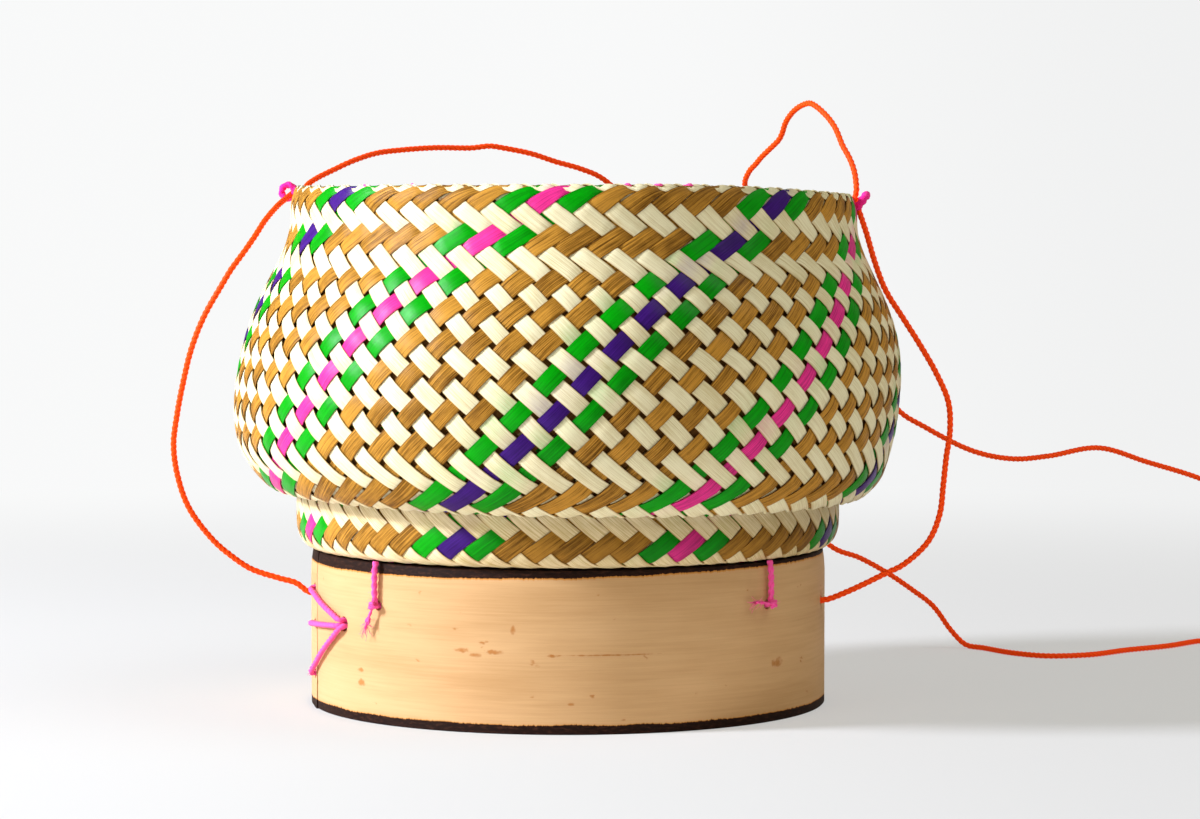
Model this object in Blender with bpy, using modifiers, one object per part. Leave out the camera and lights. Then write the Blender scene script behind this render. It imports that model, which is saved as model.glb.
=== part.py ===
"""A woven sticky rice basket: a cup on a foot ring, its lid, and the cord that carries it.

The origin is on the table, on the basket's axis. The front is -Y and up is +Z.
"""

from math import cos, degrees, hypot, pi, radians, sin

import bmesh
import bpy
from mathutils import Vector

# Driving dimensions, in metres.
GAP = 0.0003
FACETS = 64
CUTTER_REACH = 0.0020

# The walls are woven as a tube and folded double. The discs close them.
WALL = 0.0022
DISC = 0.0020

# The cup, and how far its lower fold turns in to carry the floor.
CUP_RADIUS = 0.0679
CUP_DEPTH = 0.0856
CUP_CORNER = 0.0070
CUP_LEDGE = 0.0045
FLOOR_INSET = 0.0019

# The lid: a straight neck round the cup's mouth, a round belly and a mouth that draws in.
LID_FIT = 0.0005
LID_DEPTH = 0.0771
LID_RIM_RISE = 0.0029
LID_RIM_DRAW = 0.0011
LID_RIM_DRAW_HEIGHT = 0.0060
LID_NECK_LENGTH = 0.0099
LID_BELLY_SWELL = 0.0125
LID_BELLY_DROP = 0.0529
LID_MOUTH_SWELL = 0.0034

# The foot is one strip bent round. Its thinned ends lie over each other in the lap.
FOOT_HEIGHT = 0.0388
FOOT_INSET = 0.0036
FOOT_WALL = 0.0024
FOOT_FEATHER = 0.0004
FOOT_DRAW_IN = 0.0006
FOOT_DRAW_HEIGHT = 0.0060
LAP_END = -163.5
LAP_ANGLE = 40.0
LAP_DIVE = 18.0

# Yarn and cord.
TIE_YARN = 0.0013
LAP_YARN = 0.0012
LACING_YARN = 0.0011
YARN_HOLE_ROOM = 0.0009
TIE_HOLE_HEIGHT = 0.0285
TIE_BEND = 0.0018
TIE_KNOT = 0.0026
TIE_KNOT_OUT = 0.0008
TAIL_YARN = 0.0010
CORD = 0.0014
CORD_HOLE = 0.0023
CORD_SLIT_WIDTH = 0.0008
CORD_SLIT_LENGTH = 0.0052
CORD_KNOT = 0.0042
LACING_WAVES = 16
LACING_SWING = 0.0005
LACING_INSET = 0.0012

# Places on the foot ring: an angle from +X, in degrees, and a height.
CORD_HOLES = {"left": (178.0, 0.0268), "right": (-13.0, 0.0266)}
TIES = {"front_left": -134.5, "front_right": -41.5, "back_right": 41.5, "back_left": 134.5}
# Where a tie's tail ends: how far it lies beside its knot, anticlockwise from above, and how far above it.
TAILS = {
    "front_left": (-0.0026, -0.0058), "front_right": (-0.0064, 0.0010), "back_right": (0.0010, -0.0055),
    "back_left": (0.0015, -0.0055),
}
LAP_FRONT_HOLE = (-147.1, 0.0229)
LAP_FRONT_BORE = 0.0037
LAP_FRONT_SPREAD = 0.0009
LAP_BEND = 0.0017
LAP_TAIL = 4.0
LAP_BACK_HOLES = ((-172.0, 0.0304), (-172.5, 0.0210), (-172.0, 0.0079))

# The loops on the lid's rim: angle from +X, drop below the rim, how far the line between the two legs is
# turned from level, how far the loop points up, the room between its legs and its reach.
LOOPS = {
    "left": (165.0, 0.0040, 90.0, 0.0, 0.0046, 0.0053),
    "right": (0.0, 0.0052, 0.0, 49.0, 0.0054, 0.0047),
}

# The cord's way round, in millimetres, from the left hole of the foot ring to the right one.
CORD_ROUTE = (
    (-68.4, 2.3, 29.0), (-72.9, 2.3, 30.3), (-79.7, 2.0, 32.6), (-84.6, 1.5, 35.9), (-89.1, 1.0, 39.9),
    (-94.9, -1.0, 48.1), (-97.5, -3.0, 56.2), (-98.3, -5.0, 64.3), (-97.1, -7.0, 72.4), (-95.3, -9.0, 80.5),
    (-93.1, -11.0, 88.5), (-89.9, -12.0, 96.4), (-85.4, -12.0, 104.3), (-83.1, -11.0, 108.2),
    (-80.3, -9.0, 112.2), (-77.8, -6.0, 116.1), (-75.6, -2.0, 120.0), (-72.9, 5.0, 123.8),
    (-71.0, 12.5, 125.2), (-69.4, 18.6, 125.9), (-67.9, 24.6, 127.4), (-66.6, 29.5, 129.6),
    (-64.6, 32.5, 131.0), (-61.0, 36.0, 132.9), (-56.5, 39.0, 135.1), (-50.6, 44.0, 137.2),
    (-44.5, 49.0, 138.1), (-35.3, 55.0, 138.8), (-26.0, 60.0, 138.8), (-21.3, 62.0, 139.3),
    (-16.5, 64.0, 138.6), (-10.2, 66.5, 137.3), (-3.8, 69.0, 135.2), (2.6, 71.5, 133.4), (6.9, 75.0, 130.6),
    (12.5, 80.0, 124.5), (21.0, 88.0, 112.0), (32.0, 96.0, 92.0), (45.0, 97.5, 70.0), (58.0, 94.0, 46.0),
    (71.5, 92.0, 29.9), (79.7, 95.5, 26.3), (87.5, 99.0, 21.8), (94.4, 102.0, 17.0), (100.7, 104.5, 12.0),
    (106.0, 106.5, 4.9), (109.8, 105.5, 1.2), (114.6, 100.5, 0.75), (121.8, 88.6, 0.75),
    (130.2, 82.3, 0.75), (141.4, 84.6, 0.75), (153.9, 95.9, 0.75), (166.3, 105.1, 0.75),
    (177.1, 116.9, 0.75), (189.0, 124.0, 0.75), (201.0, 126.0, 4.5), (208.5, 124.5, 15.0),
    (206.0, 121.5, 28.0), (194.0, 117.5, 39.0), (175.9, 112.0, 47.0), (159.9, 104.0, 52.2),
    (145.6, 97.0, 56.6), (130.7, 89.0, 54.9), (120.5, 84.0, 54.5), (109.1, 79.0, 57.0), (95.8, 75.5, 63.7),
    (88.4, 75.0, 68.5), (80.0, 76.5, 83.0), (70.0, 76.0, 103.0), (58.0, 68.0, 120.0), (50.8, 60.0, 127.0),
    (46.6, 54.5, 130.3), (47.6, 50.5, 132.9), (48.8, 48.0, 134.5), (50.0, 45.5, 136.1), (53.0, 41.0, 139.2),
    (54.4, 39.0, 140.7), (55.1, 37.5, 142.2), (56.0, 34.0, 145.3), (58.1, 29.0, 148.3), (60.8, 24.0, 149.8),
    (62.4, 20.0, 149.4), (65.4, 15.5, 146.5), (67.4, 12.0, 143.4), (69.1, 8.0, 138.8), (70.3, 5.6, 135.8),
    (71.1, 3.4, 132.8), (71.5, 1.4, 129.8), (71.6, 0.2, 127.4), (71.7, -0.2, 125.9), (72.3, -1.1, 123.5), (73.3, -3.0, 120.2),
    (74.3, -5.0, 116.8), (76.1, -8.5, 109.9), (78.6, -11.0, 103.0), (82.9, -12.0, 96.1),
    (87.2, -12.5, 89.3), (91.1, -13.5, 82.4), (93.9, -14.5, 75.6), (94.3, -15.0, 68.5), (93.4, -15.0, 61.8),
    (92.7, -15.0, 54.9), (91.9, -15.0, 48.0), (89.2, -14.0, 41.1), (83.2, -13.5, 35.3), (78.8, -13.6, 33.1),
    (69.6, -14.6, 28.8),
)
CORD_SLACK = 0.0005
CORD_LONGEST = 0.020

# Sizes that follow from the driving ones.
CUP_BASE = FOOT_HEIGHT + GAP
CUP_MOUTH = CUP_BASE + CUP_DEPTH
FLOOR_BASE = CUP_BASE + WALL + GAP
FLOOR_RADIUS = CUP_RADIUS - WALL - FLOOR_INSET
LID_NECK = CUP_RADIUS + LID_FIT + WALL
LID_TOP_BASE = CUP_MOUTH + GAP
LID_TOP_RADIUS = LID_NECK - WALL - LID_FIT - LID_RIM_DRAW / 2
LID_RIM = LID_TOP_BASE + DISC + LID_RIM_RISE
FOOT_RADIUS = CUP_RADIUS - FOOT_INSET
FOOT_INSIDE = FOOT_RADIUS - FOOT_WALL
LAP_INSIDE = FOOT_INSIDE - FOOT_FEATHER - GAP
FOOT_REACH = (LAP_INSIDE - CUTTER_REACH, FOOT_RADIUS + CUTTER_REACH)

COLOURS = {
    "stalk": (0.78, 0.60, 0.38, 0.55),
    "weave": (0.80, 0.68, 0.42, 0.60),
    "pink yarn": (0.90, 0.10, 0.50, 0.85),
    "orange cord": (0.90, 0.13, 0.03, 0.50),
}


def clear_scene():
    for thing in list(bpy.data.objects):
        bpy.data.objects.remove(thing, do_unlink=True)


def new_collection(name):
    collection = bpy.data.collections.new(name)
    bpy.context.scene.collection.children.link(collection)
    return collection


def make_material(name):
    red, green, blue, roughness = COLOURS[name]
    material = bpy.data.materials.new(name)
    material.use_nodes = True
    shader = material.node_tree.nodes["Principled BSDF"]
    shader.inputs["Base Color"].default_value = (red, green, blue, 1.0)
    shader.inputs["Roughness"].default_value = roughness
    shader.inputs["Metallic"].default_value = 0.0
    return material


def around(radius, angle, height):
    """Return the point at a radius, an angle in degrees from +X and a height."""
    return Vector((radius * cos(radians(angle)), radius * sin(radians(angle)), height))


def smoothstep(share):
    share = min(max(share, 0.0), 1.0)
    return share * share * (3.0 - 2.0 * share)


def bezier(start, pull_start, pull_end, end, steps):
    """Return the points of a cubic curve in the (radius, height) plane, with both ends."""
    points = []
    for step in range(steps + 1):
        t = step / steps
        weights = ((1 - t) ** 3, 3 * t * (1 - t) ** 2, 3 * t * t * (1 - t), t ** 3)
        corners = (start, pull_start, pull_end, end)
        points.append(tuple(sum(w * c[i] for w, c in zip(weights, corners)) for i in (0, 1)))
    return points


def through_points(points, steps=10):
    """Return a smooth run through the points, as a centripetal Catmull-Rom curve."""
    run = [2 * points[0] - points[1], *points, 2 * points[-1] - points[-2]]
    smooth = []
    for p0, p1, p2, p3 in zip(run, run[1:], run[2:], run[3:]):
        t1 = (p1 - p0).length ** 0.5
        t2 = t1 + (p2 - p1).length ** 0.5
        t3 = t2 + (p3 - p2).length ** 0.5
        for step in range(steps):
            t = t1 + (t2 - t1) * step / steps
            a1 = p0 * ((t1 - t) / t1) + p1 * (t / t1)
            a2 = p1 * ((t2 - t) / (t2 - t1)) + p2 * ((t - t1) / (t2 - t1))
            a3 = p2 * ((t3 - t) / (t3 - t2)) + p3 * ((t - t2) / (t3 - t2))
            b1 = a1 * ((t2 - t) / t2) + a2 * (t / t2)
            b2 = a2 * ((t3 - t) / (t3 - t1)) + a3 * ((t - t1) / (t3 - t1))
            smooth.append(b1 * ((t2 - t) / (t2 - t1)) + b2 * ((t - t1) / (t2 - t1)))
    smooth.append(points[-1].copy())
    return smooth


def thinned(points, slack, longest):
    """Keep the fewest points whose straight runs stay within the slack of the curve."""
    kept = [points[0]]
    first = 0
    while first < len(points) - 1:
        last = first + 1
        while last + 1 < len(points):
            chord = points[last + 1] - points[first]
            if chord.length > longest:
                break
            along = chord.normalized()
            offsets = [points[i] - points[first] for i in range(first + 1, last + 1)]
            if max((o - along * o.dot(along)).length for o in offsets) > slack:
                break
            last += 1
        kept.append(points[last])
        first = last
    return kept


def place(thing, collection, material=None, parent=None):
    """Put an object in its collection, with its material and its parent."""
    for old in list(thing.users_collection):
        old.objects.unlink(thing)
    collection.objects.link(thing)
    if material:
        thing.data.materials.clear()
        thing.data.materials.append(material)
    thing.parent = parent
    return thing


def turned(name, outline, collection, material, parent=None, closed=True):
    """Spin a (radius, height) outline, which runs down its outer side, about the axis."""
    mesh = bpy.data.meshes.new(name)
    points = [(radius, 0.0, height) for radius, height in outline]
    edges = [(i, i + 1) for i in range(len(points) - 1)]
    if closed:
        edges.append((len(points) - 1, 0))
    mesh.from_pydata(points, edges, [])
    thing = bpy.data.objects.new(name, mesh)
    screw = thing.modifiers.new("Turn", "SCREW")
    screw.steps = screw.render_steps = FACETS
    screw.use_merge_vertices = True
    screw.merge_threshold = 0.00001
    screw.use_smooth_shade = True
    return place(thing, collection, material, parent)


def tube(name, points, diameter, collection, material, parent=None, cyclic=False, rings=2):
    """Sweep a round section along the points."""
    curve = bpy.data.curves.new(name, "CURVE")
    curve.dimensions = "3D"
    curve.fill_mode = "FULL"
    curve.bevel_depth = diameter / 2
    curve.bevel_resolution = rings
    curve.use_fill_caps = not cyclic
    spline = curve.splines.new("POLY")
    spline.points.add(len(points) - 1)
    for spot, point in zip(spline.points, points):
        spot.co = (*point, 1.0)
    spline.use_cyclic_u = cyclic
    return place(bpy.data.objects.new(name, curve), collection, material, parent)


def as_mesh(curve_object):
    """Replace a curve object by a closed mesh object of the same name and place."""
    bpy.context.view_layer.update()
    evaluated = curve_object.evaluated_get(bpy.context.evaluated_depsgraph_get())
    mesh = bpy.data.meshes.new_from_object(evaluated)
    shape = bmesh.new()
    shape.from_mesh(mesh)
    bmesh.ops.remove_doubles(shape, verts=shape.verts, dist=0.000001)
    bmesh.ops.recalc_face_normals(shape, faces=shape.faces)
    shape.to_mesh(mesh)
    shape.free()
    name = curve_object.name
    collection = curve_object.users_collection[0]
    parent = curve_object.parent
    matrix = curve_object.matrix_world.copy()
    bpy.data.objects.remove(curve_object, do_unlink=True)
    thing = place(bpy.data.objects.new(name, mesh), collection, None, parent)
    thing.matrix_world = matrix
    return thing


def solid(name, shape):
    """Make an object from a bmesh shape, which is freed."""
    mesh = bpy.data.meshes.new(name)
    shape.to_mesh(mesh)
    shape.free()
    return bpy.data.objects.new(name, mesh)


def as_tool(thing, cutters):
    """Hide an object that only cuts or joins another."""
    place(thing, cutters)
    thing.hide_render = True
    thing.display_type = "WIRE"
    return thing


def combine(target, tool, operation):
    modifier = target.modifiers.new(tool.name, "BOOLEAN")
    modifier.operation = operation
    modifier.solver = "EXACT"
    modifier.object = tool


def radial_pin(name, angle, height, diameter, inner, outer, cutters):
    """Make a round cutter that points out from the axis, between two radii."""
    shape = bmesh.new()
    bmesh.ops.create_cone(
        shape, cap_ends=True, segments=16, radius1=diameter / 2, radius2=diameter / 2, depth=outer - inner
    )
    pin = solid(name, shape)
    pin.location = around((inner + outer) / 2, angle, height)
    pin.rotation_euler = (0.0, pi / 2, radians(angle))
    return as_tool(pin, cutters)


def radial_slit(name, angle, height, inner, outer, cutters):
    """Make the cutter of the slit that the cord's hole was pierced with."""
    shape = bmesh.new()
    bmesh.ops.create_cube(shape, size=1.0)
    bmesh.ops.scale(shape, verts=shape.verts, vec=(outer - inner, CORD_SLIT_WIDTH, CORD_SLIT_LENGTH))
    slit = solid(name, shape)
    slit.location = around((inner + outer) / 2, angle, height)
    slit.rotation_euler = (0.0, 0.0, radians(angle))
    return as_tool(slit, cutters)


def folded_wall(outer, thickness, fold_steps=4):
    """Return the closed outline of a wall of even thickness, with a round fold at each end."""
    normals = []
    for i, point in enumerate(outer):
        before = outer[max(i - 1, 0)]
        after = outer[min(i + 1, len(outer) - 1)]
        run = (after[0] - before[0], after[1] - before[1])
        length = hypot(*run)
        normals.append((run[1] / length, -run[0] / length))
    inner = [(p[0] + n[0] * thickness, p[1] + n[1] * thickness) for p, n in zip(outer, normals)]
    outline = list(outer)
    outline += fold(outer[-1], inner[-1], normals[-1], 1.0, thickness, fold_steps)
    outline += reversed(inner)
    outline += fold(inner[0], outer[0], normals[0], -1.0, thickness, fold_steps)
    return outline


def fold(start, end, normal, direction, thickness, steps):
    """Return the points between the two ends of a half round."""
    middle = ((start[0] + end[0]) / 2, (start[1] + end[1]) / 2)
    along = (-normal[1] * direction, normal[0] * direction)
    points = []
    for step in range(1, steps):
        turn = pi * step / steps
        across = cos(turn) * (-thickness / 2 if direction > 0 else thickness / 2)
        reach = sin(turn) * thickness / 2
        points.append((
            middle[0] + normal[0] * across + along[0] * reach,
            middle[1] + normal[1] * across + along[1] * reach,
        ))
    return points


def cup_outline():
    """Return the cup's outer line, from below the mouth's fold to the fold under the floor."""
    top = (CUP_RADIUS, CUP_MOUTH - WALL / 2)
    corner = (CUP_RADIUS, CUP_BASE + CUP_CORNER)
    tip = (CUP_RADIUS - CUP_LEDGE, CUP_BASE)
    pull_down = (CUP_RADIUS, CUP_BASE + 0.4 * CUP_CORNER)
    pull_in = (CUP_RADIUS - 0.4 * CUP_LEDGE, CUP_BASE)
    return [top] + bezier(corner, pull_down, pull_in, tip, 4)


def lid_outline():
    """Return the lid's outer line: the drawn in rim, the neck, out to the belly and in to the mouth."""
    neck_end = (LID_NECK, LID_RIM - LID_NECK_LENGTH)
    belly_radius = LID_NECK + LID_BELLY_SWELL
    belly = (belly_radius, LID_RIM - LID_BELLY_DROP)
    rise = neck_end[1] - belly[1]
    mouth = (LID_NECK + LID_MOUTH_SWELL, LID_RIM - LID_DEPTH)
    drop = belly[1] - mouth[1]
    swell_start = (LID_NECK + 0.11 * LID_BELLY_SWELL, neck_end[1] - 0.29 * rise)
    swell_end = (belly_radius, belly[1] + 0.53 * rise)
    turn_start = (belly_radius, belly[1] - 0.46 * drop)
    turn_end = (mouth[0] + 0.70 * (belly_radius - mouth[0]), mouth[1] + 0.18 * drop)
    rim = []
    for share in (1.0, 0.7, 0.4, 0.0):
        depth = LID_RIM_DRAW_HEIGHT + share * (WALL / 2 - LID_RIM_DRAW_HEIGHT)
        rim.append((LID_NECK - LID_RIM_DRAW * share ** 1.5, LID_RIM - depth))
    swelling = bezier(neck_end, swell_start, swell_end, belly, 6)
    turning = bezier(belly, turn_start, turn_end, mouth, 4)
    return rim + swelling + turning[1:]


def disc_outline(radius, base, thickness):
    """Return the outline of a disc with a soft edge, from its upper to its lower middle."""
    edge = thickness / 4
    return (
        (0.0, base + thickness), (radius - edge, base + thickness), (radius, base + thickness - edge),
        (radius, base + edge), (radius - edge, base), (0.0, base),
    )


def disc(name, radius, base, collection, material, parent=None):
    """Spin a disc's outline, whose two ends lie on the axis."""
    outline = disc_outline(radius, base, DISC)
    return turned(name, outline, collection, material, parent, closed=False)


def lacing(name, radius, seat, collection, material, parent=None):
    """Lay a yarn round a disc's edge, rising and falling as it was sewn."""
    points = []
    steps = LACING_WAVES * 4
    for step in range(steps):
        swing = LACING_SWING * cos(2 * pi * LACING_WAVES * step / steps)
        height = seat + GAP + LACING_YARN / 2 + LACING_SWING + swing
        points.append(around(radius + swing, 360.0 * step / steps, height))
    return tube(name, points, LACING_YARN, collection, material, parent, cyclic=True, rings=1)


def strip_faces(turn):
    """Return the strip's outer and inner radius, at a turn in degrees from its outer end."""
    step_in = FOOT_FEATHER + GAP
    dive = smoothstep((turn - 360.0 + LAP_DIVE) / LAP_DIVE) * step_in
    outer = FOOT_RADIUS - dive
    inner = FOOT_INSIDE - dive
    grown = FOOT_WALL - FOOT_FEATHER
    if turn <= LAP_ANGLE:
        inner = FOOT_RADIUS - FOOT_FEATHER - grown * turn / LAP_ANGLE
    if turn >= 360.0:
        outer -= grown * (turn - 360.0) / LAP_ANGLE
    return outer, inner


def make_foot_ring(collection, cutters, material):
    """Extrude the strip's plan, draw its upper margin in and bore its holes."""
    steps = round((360.0 + LAP_ANGLE) * FACETS / 360.0)
    turns = [(360.0 + LAP_ANGLE) * step / steps for step in range(steps + 1)]
    plan = [around(strip_faces(turn)[0], LAP_END - turn, 0.0) for turn in turns]
    plan += [around(strip_faces(turn)[1], LAP_END - turn, 0.0) for turn in reversed(turns)]
    curve = bpy.data.curves.new("foot_ring", "CURVE")
    curve.dimensions = "2D"
    curve.fill_mode = "BOTH"
    curve.extrude = FOOT_HEIGHT / 2
    spline = curve.splines.new("POLY")
    spline.points.add(len(plan) - 1)
    for spot, point in zip(spline.points, plan):
        spot.co = (*point, 1.0)
    spline.use_cyclic_u = True
    blank = place(bpy.data.objects.new("foot_ring", curve), collection)
    blank.location.z = FOOT_HEIGHT / 2
    ring = as_mesh(blank)
    ring.data.transform(ring.matrix_world)
    ring.matrix_world.identity()
    lean_margin(ring.data)
    place(ring, collection, material)
    for side, (angle, height) in CORD_HOLES.items():
        bore_foot(ring, f"cord hole {side}", angle, height, CORD_HOLE, cutters)
        combine(ring, radial_slit(f"cord slit {side}", angle, height, *FOOT_REACH, cutters), "DIFFERENCE")
    for side, angle in TIES.items():
        bore_foot(ring, f"tie hole {side}", angle, TIE_HOLE_HEIGHT, TIE_YARN + YARN_HOLE_ROOM, cutters)
    bore_foot(ring, "lap hole front", *LAP_FRONT_HOLE, LAP_FRONT_BORE, cutters)
    for number, (angle, height) in enumerate(LAP_BACK_HOLES):
        bore_foot(ring, f"lap hole back {number}", angle, height, LAP_YARN + YARN_HOLE_ROOM, cutters)
    return ring


def bore_foot(ring, name, angle, height, diameter, cutters):
    combine(ring, radial_pin(name, angle, height, diameter, *FOOT_REACH, cutters), "DIFFERENCE")


def margin_lean(height):
    """Return how far the strip's upper margin leans in at a height."""
    upper = (height - FOOT_HEIGHT + FOOT_DRAW_HEIGHT) / FOOT_DRAW_HEIGHT
    return FOOT_DRAW_IN * max(upper, 0.0) ** 2


def lean_margin(mesh):
    """Cut the strip into bands near its upper margin and lean them in."""
    shape = bmesh.new()
    shape.from_mesh(mesh)
    for share in (0.0, 0.5):
        level = FOOT_HEIGHT - FOOT_DRAW_HEIGHT * (1.0 - share)
        everything = [*shape.verts, *shape.edges, *shape.faces]
        bmesh.ops.bisect_plane(shape, geom=everything, plane_co=(0, 0, level), plane_no=(0, 0, 1), dist=1e-7)
    for vert in shape.verts:
        radius = hypot(vert.co.x, vert.co.y)
        scale = (radius - margin_lean(vert.co.z)) / radius
        vert.co.x *= scale
        vert.co.y *= scale
    shape.to_mesh(mesh)
    shape.free()


def make_tie(name, angle, tail_end, collection, cutters, material):
    """Loop yarn over the foot ring's wall through its hole, with a knot and a tail outside."""
    half = TIE_YARN / 2
    outside = FOOT_RADIUS + GAP + half
    inside = FOOT_INSIDE - FOOT_DRAW_IN - GAP - half
    hole = TIE_HOLE_HEIGHT
    bend = TIE_BEND
    route = (
        (outside, FOOT_HEIGHT), (outside, hole + 2 * bend), (outside, hole + bend),
        (outside - half / 3, hole + bend / 4), (FOOT_RADIUS - half / 2, hole), (FOOT_INSIDE + half / 2, hole),
        (inside + half, hole + bend / 4), (inside, hole + bend), (inside, hole + 2 * bend),
        (inside, FLOOR_BASE - GAP),
    )
    points = [around(radius, angle, height) for radius, height in route]
    yarn = tube(name, points, TIE_YARN, collection, material, rings=1)
    tie = as_mesh(yarn)
    place(tie, collection, material)
    shape = bmesh.new()
    bmesh.ops.create_uvsphere(shape, u_segments=10, v_segments=6, radius=TIE_KNOT / 2)
    knot = as_tool(solid(name + " knot", shape), cutters)
    start = around(outside + TIE_KNOT_OUT, angle, hole)
    knot.location = start
    combine(tie, knot, "UNION")
    sideways = Vector((-sin(radians(angle)), cos(radians(angle)), 0.0))
    end = start + sideways * tail_end[0] + Vector((0.0, 0.0, tail_end[1]))
    tail = as_mesh(tube(name + " tail", [start, end], TAIL_YARN, cutters, None, rings=1))
    combine(tie, as_tool(tail, cutters), "UNION")
    return tie


def bend_into_hole(hole, neighbour, face, side):
    """Return a bend from the strip's surface into a hole, as (radius, angle, height) points."""
    arc = radians(neighbour[0] - hole[0]) * face
    rise = neighbour[1] - hole[1]
    length = hypot(arc, rise)
    half = LAP_YARN / 2
    points = []
    for away, lift in ((LAP_BEND, GAP + 1.25 * half), (LAP_BEND / 6, 1.2 * half), (0.0, -0.5 * half)):
        angle = hole[0] + degrees(arc / length * away / face)
        points.append((face + side * lift, angle, hole[1] + rise / length * away))
    return points


def make_lap_lashing(collection, material):
    """Sew the lap with one yarn: out at each back hole, across and in at the front hole."""
    spread = LAP_FRONT_SPREAD
    front_angle, front_height = LAP_FRONT_HOLE
    fronts = []
    for turn in (90.0, 210.0, 330.0):
        shift = degrees(spread * cos(radians(turn)) / FOOT_RADIUS)
        fronts.append((front_angle + shift, front_height + spread * sin(radians(turn))))
    lie_out = FOOT_RADIUS + GAP + LAP_YARN / 2
    lie_in = LAP_INSIDE - GAP - LAP_YARN / 2
    first = LAP_BACK_HOLES[0]
    route = [(lie_in, first[0] + LAP_TAIL, first[1])]
    for number, (back, front) in enumerate(zip(LAP_BACK_HOLES, fronts)):
        came_from = fronts[number - 1] if number else (first[0] + LAP_TAIL, first[1])
        route += bend_into_hole(back, came_from, LAP_INSIDE, -1.0)
        route += reversed(bend_into_hole(back, front, FOOT_RADIUS, 1.0))
        for share in (0.2, 0.4, 0.6, 0.8):
            angle = back[0] + share * (front[0] - back[0])
            route.append((lie_out, angle, back[1] + share * (front[1] - back[1])))
        following = LAP_BACK_HOLES[number + 1] if number < 2 else (front[0] - LAP_TAIL, front[1])
        route += bend_into_hole(front, back, FOOT_RADIUS, 1.0)
        route += reversed(bend_into_hole(front, following, LAP_INSIDE, -1.0))
        shares = (0.25, 0.5, 0.75) if number < 2 else (1.0,)
        for share in shares:
            angle = front[0] + share * (following[0] - front[0])
            route.append((lie_in, angle, front[1] + share * (following[1] - front[1])))
    return tube("lap_lashing", [around(*point) for point in route], LAP_YARN, collection, material, rings=1)


def make_loop(side, collection, cutters, material, lid_wall, parent):
    """Bend a yarn loop out of two holes in the lid's neck, for the cord to run through."""
    angle, drop, turn, upward, legs, loop_reach = LOOPS[side]
    height = LID_RIM - drop
    outward = around(1.0, angle, 0.0)
    sideways = Vector((-outward.y, outward.x, 0.0))
    across = sideways * cos(radians(turn)) + Vector((0.0, 0.0, sin(radians(turn))))
    away = outward * cos(radians(upward)) + Vector((0.0, 0.0, sin(radians(upward))))
    middle = around(LID_NECK, angle, height)
    half = legs / 2
    route = [middle - outward * (WALL - GAP) + across * half]
    for step in range(11):
        bend = pi * step / 10
        route.append(middle + across * half * cos(bend) + away * loop_reach * sin(bend))
    route.append(middle - outward * (WALL - GAP) - across * half)
    reach = (LID_NECK - WALL - CUTTER_REACH, LID_NECK + CUTTER_REACH)
    for leg in (1.0, -1.0):
        name = f"loop hole {side} {leg:+.0f}"
        hole = radial_pin(name, angle, height, TIE_YARN + YARN_HOLE_ROOM, *reach, cutters)
        hole.location += across * half * leg
        hole.parent = parent
        combine(lid_wall, hole, "DIFFERENCE")
    return tube(f"loop_{side}", route, TIE_YARN, collection, material, parent)


def make_knot(side, collection, material):
    """Make the knot that holds the cord's end inside the foot ring."""
    angle, height = CORD_HOLES[side]
    face = LAP_INSIDE if side == "left" else FOOT_INSIDE
    shape = bmesh.new()
    bmesh.ops.create_uvsphere(shape, u_segments=12, v_segments=8, radius=CORD_KNOT / 2)
    knot = solid(f"cord_knot_{side}", shape)
    knot.data.shade_smooth()
    knot.location = around(face - GAP - CORD_KNOT / 2, angle, height)
    return place(knot, collection, material)


def make_cord(collection, material):
    """Run the cord from its left knot over the lid, round the strap and back to its right knot."""
    left_angle, left_height = CORD_HOLES["left"]
    right_angle, right_height = CORD_HOLES["right"]
    clear = FOOT_RADIUS + GAP + CORD / 2
    points = [around(LAP_INSIDE, left_angle, left_height), around(clear, left_angle, left_height)]
    points += [Vector(point) * 0.001 for point in CORD_ROUTE]
    points += [around(clear, right_angle, right_height), around(FOOT_INSIDE, right_angle, right_height)]
    smooth = through_points(points)
    for point in smooth:
        point.z = max(point.z, CORD / 2)
    route = thinned(smooth, CORD_SLACK, CORD_LONGEST)
    return tube("carry_cord", route, CORD, collection, material)


def main():
    clear_scene()
    parts = new_collection("sticky rice basket")
    cutters = new_collection("cutters")
    stalk, weave, pink, orange = (make_material(name) for name in COLOURS)

    # The lid's pieces hang on an empty at its mouth, which lifts along the axis.
    lid = place(bpy.data.objects.new("lid lift", None), parts)

    make_foot_ring(parts, cutters, stalk)
    make_lap_lashing(parts, pink)
    for name, angle in TIES.items():
        make_tie("tie_" + name, angle, TAILS[name], parts, cutters, pink)

    turned("basket_wall", folded_wall(cup_outline(), WALL), parts, weave)
    disc("basket_floor", FLOOR_RADIUS, FLOOR_BASE, parts, weave)
    lacing("floor_lacing", FLOOR_RADIUS - LACING_INSET, FLOOR_BASE + DISC, parts, pink)

    lid_wall = turned("lid_wall", folded_wall(lid_outline(), WALL), parts, weave, lid)
    disc("lid_top", LID_TOP_RADIUS, LID_TOP_BASE, parts, weave, lid)
    lacing("top_lacing", LID_TOP_RADIUS - LACING_INSET, LID_TOP_BASE + DISC, parts, pink, lid)
    for side in LOOPS:
        make_loop(side, parts, cutters, pink, lid_wall, lid)

    make_cord(parts, orange)
    for side in CORD_HOLES:
        make_knot(side, parts, orange)


main()
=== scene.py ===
"""Looks of a woven sticky rice basket, laid out as an add-on and run as a script.

The measured basket is loaded as a fixed frame. Each operator makes one piece, or a group of like
pieces, on that frame and gives it its finish. Lengths are in metres. The front is -Y.
"""

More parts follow.
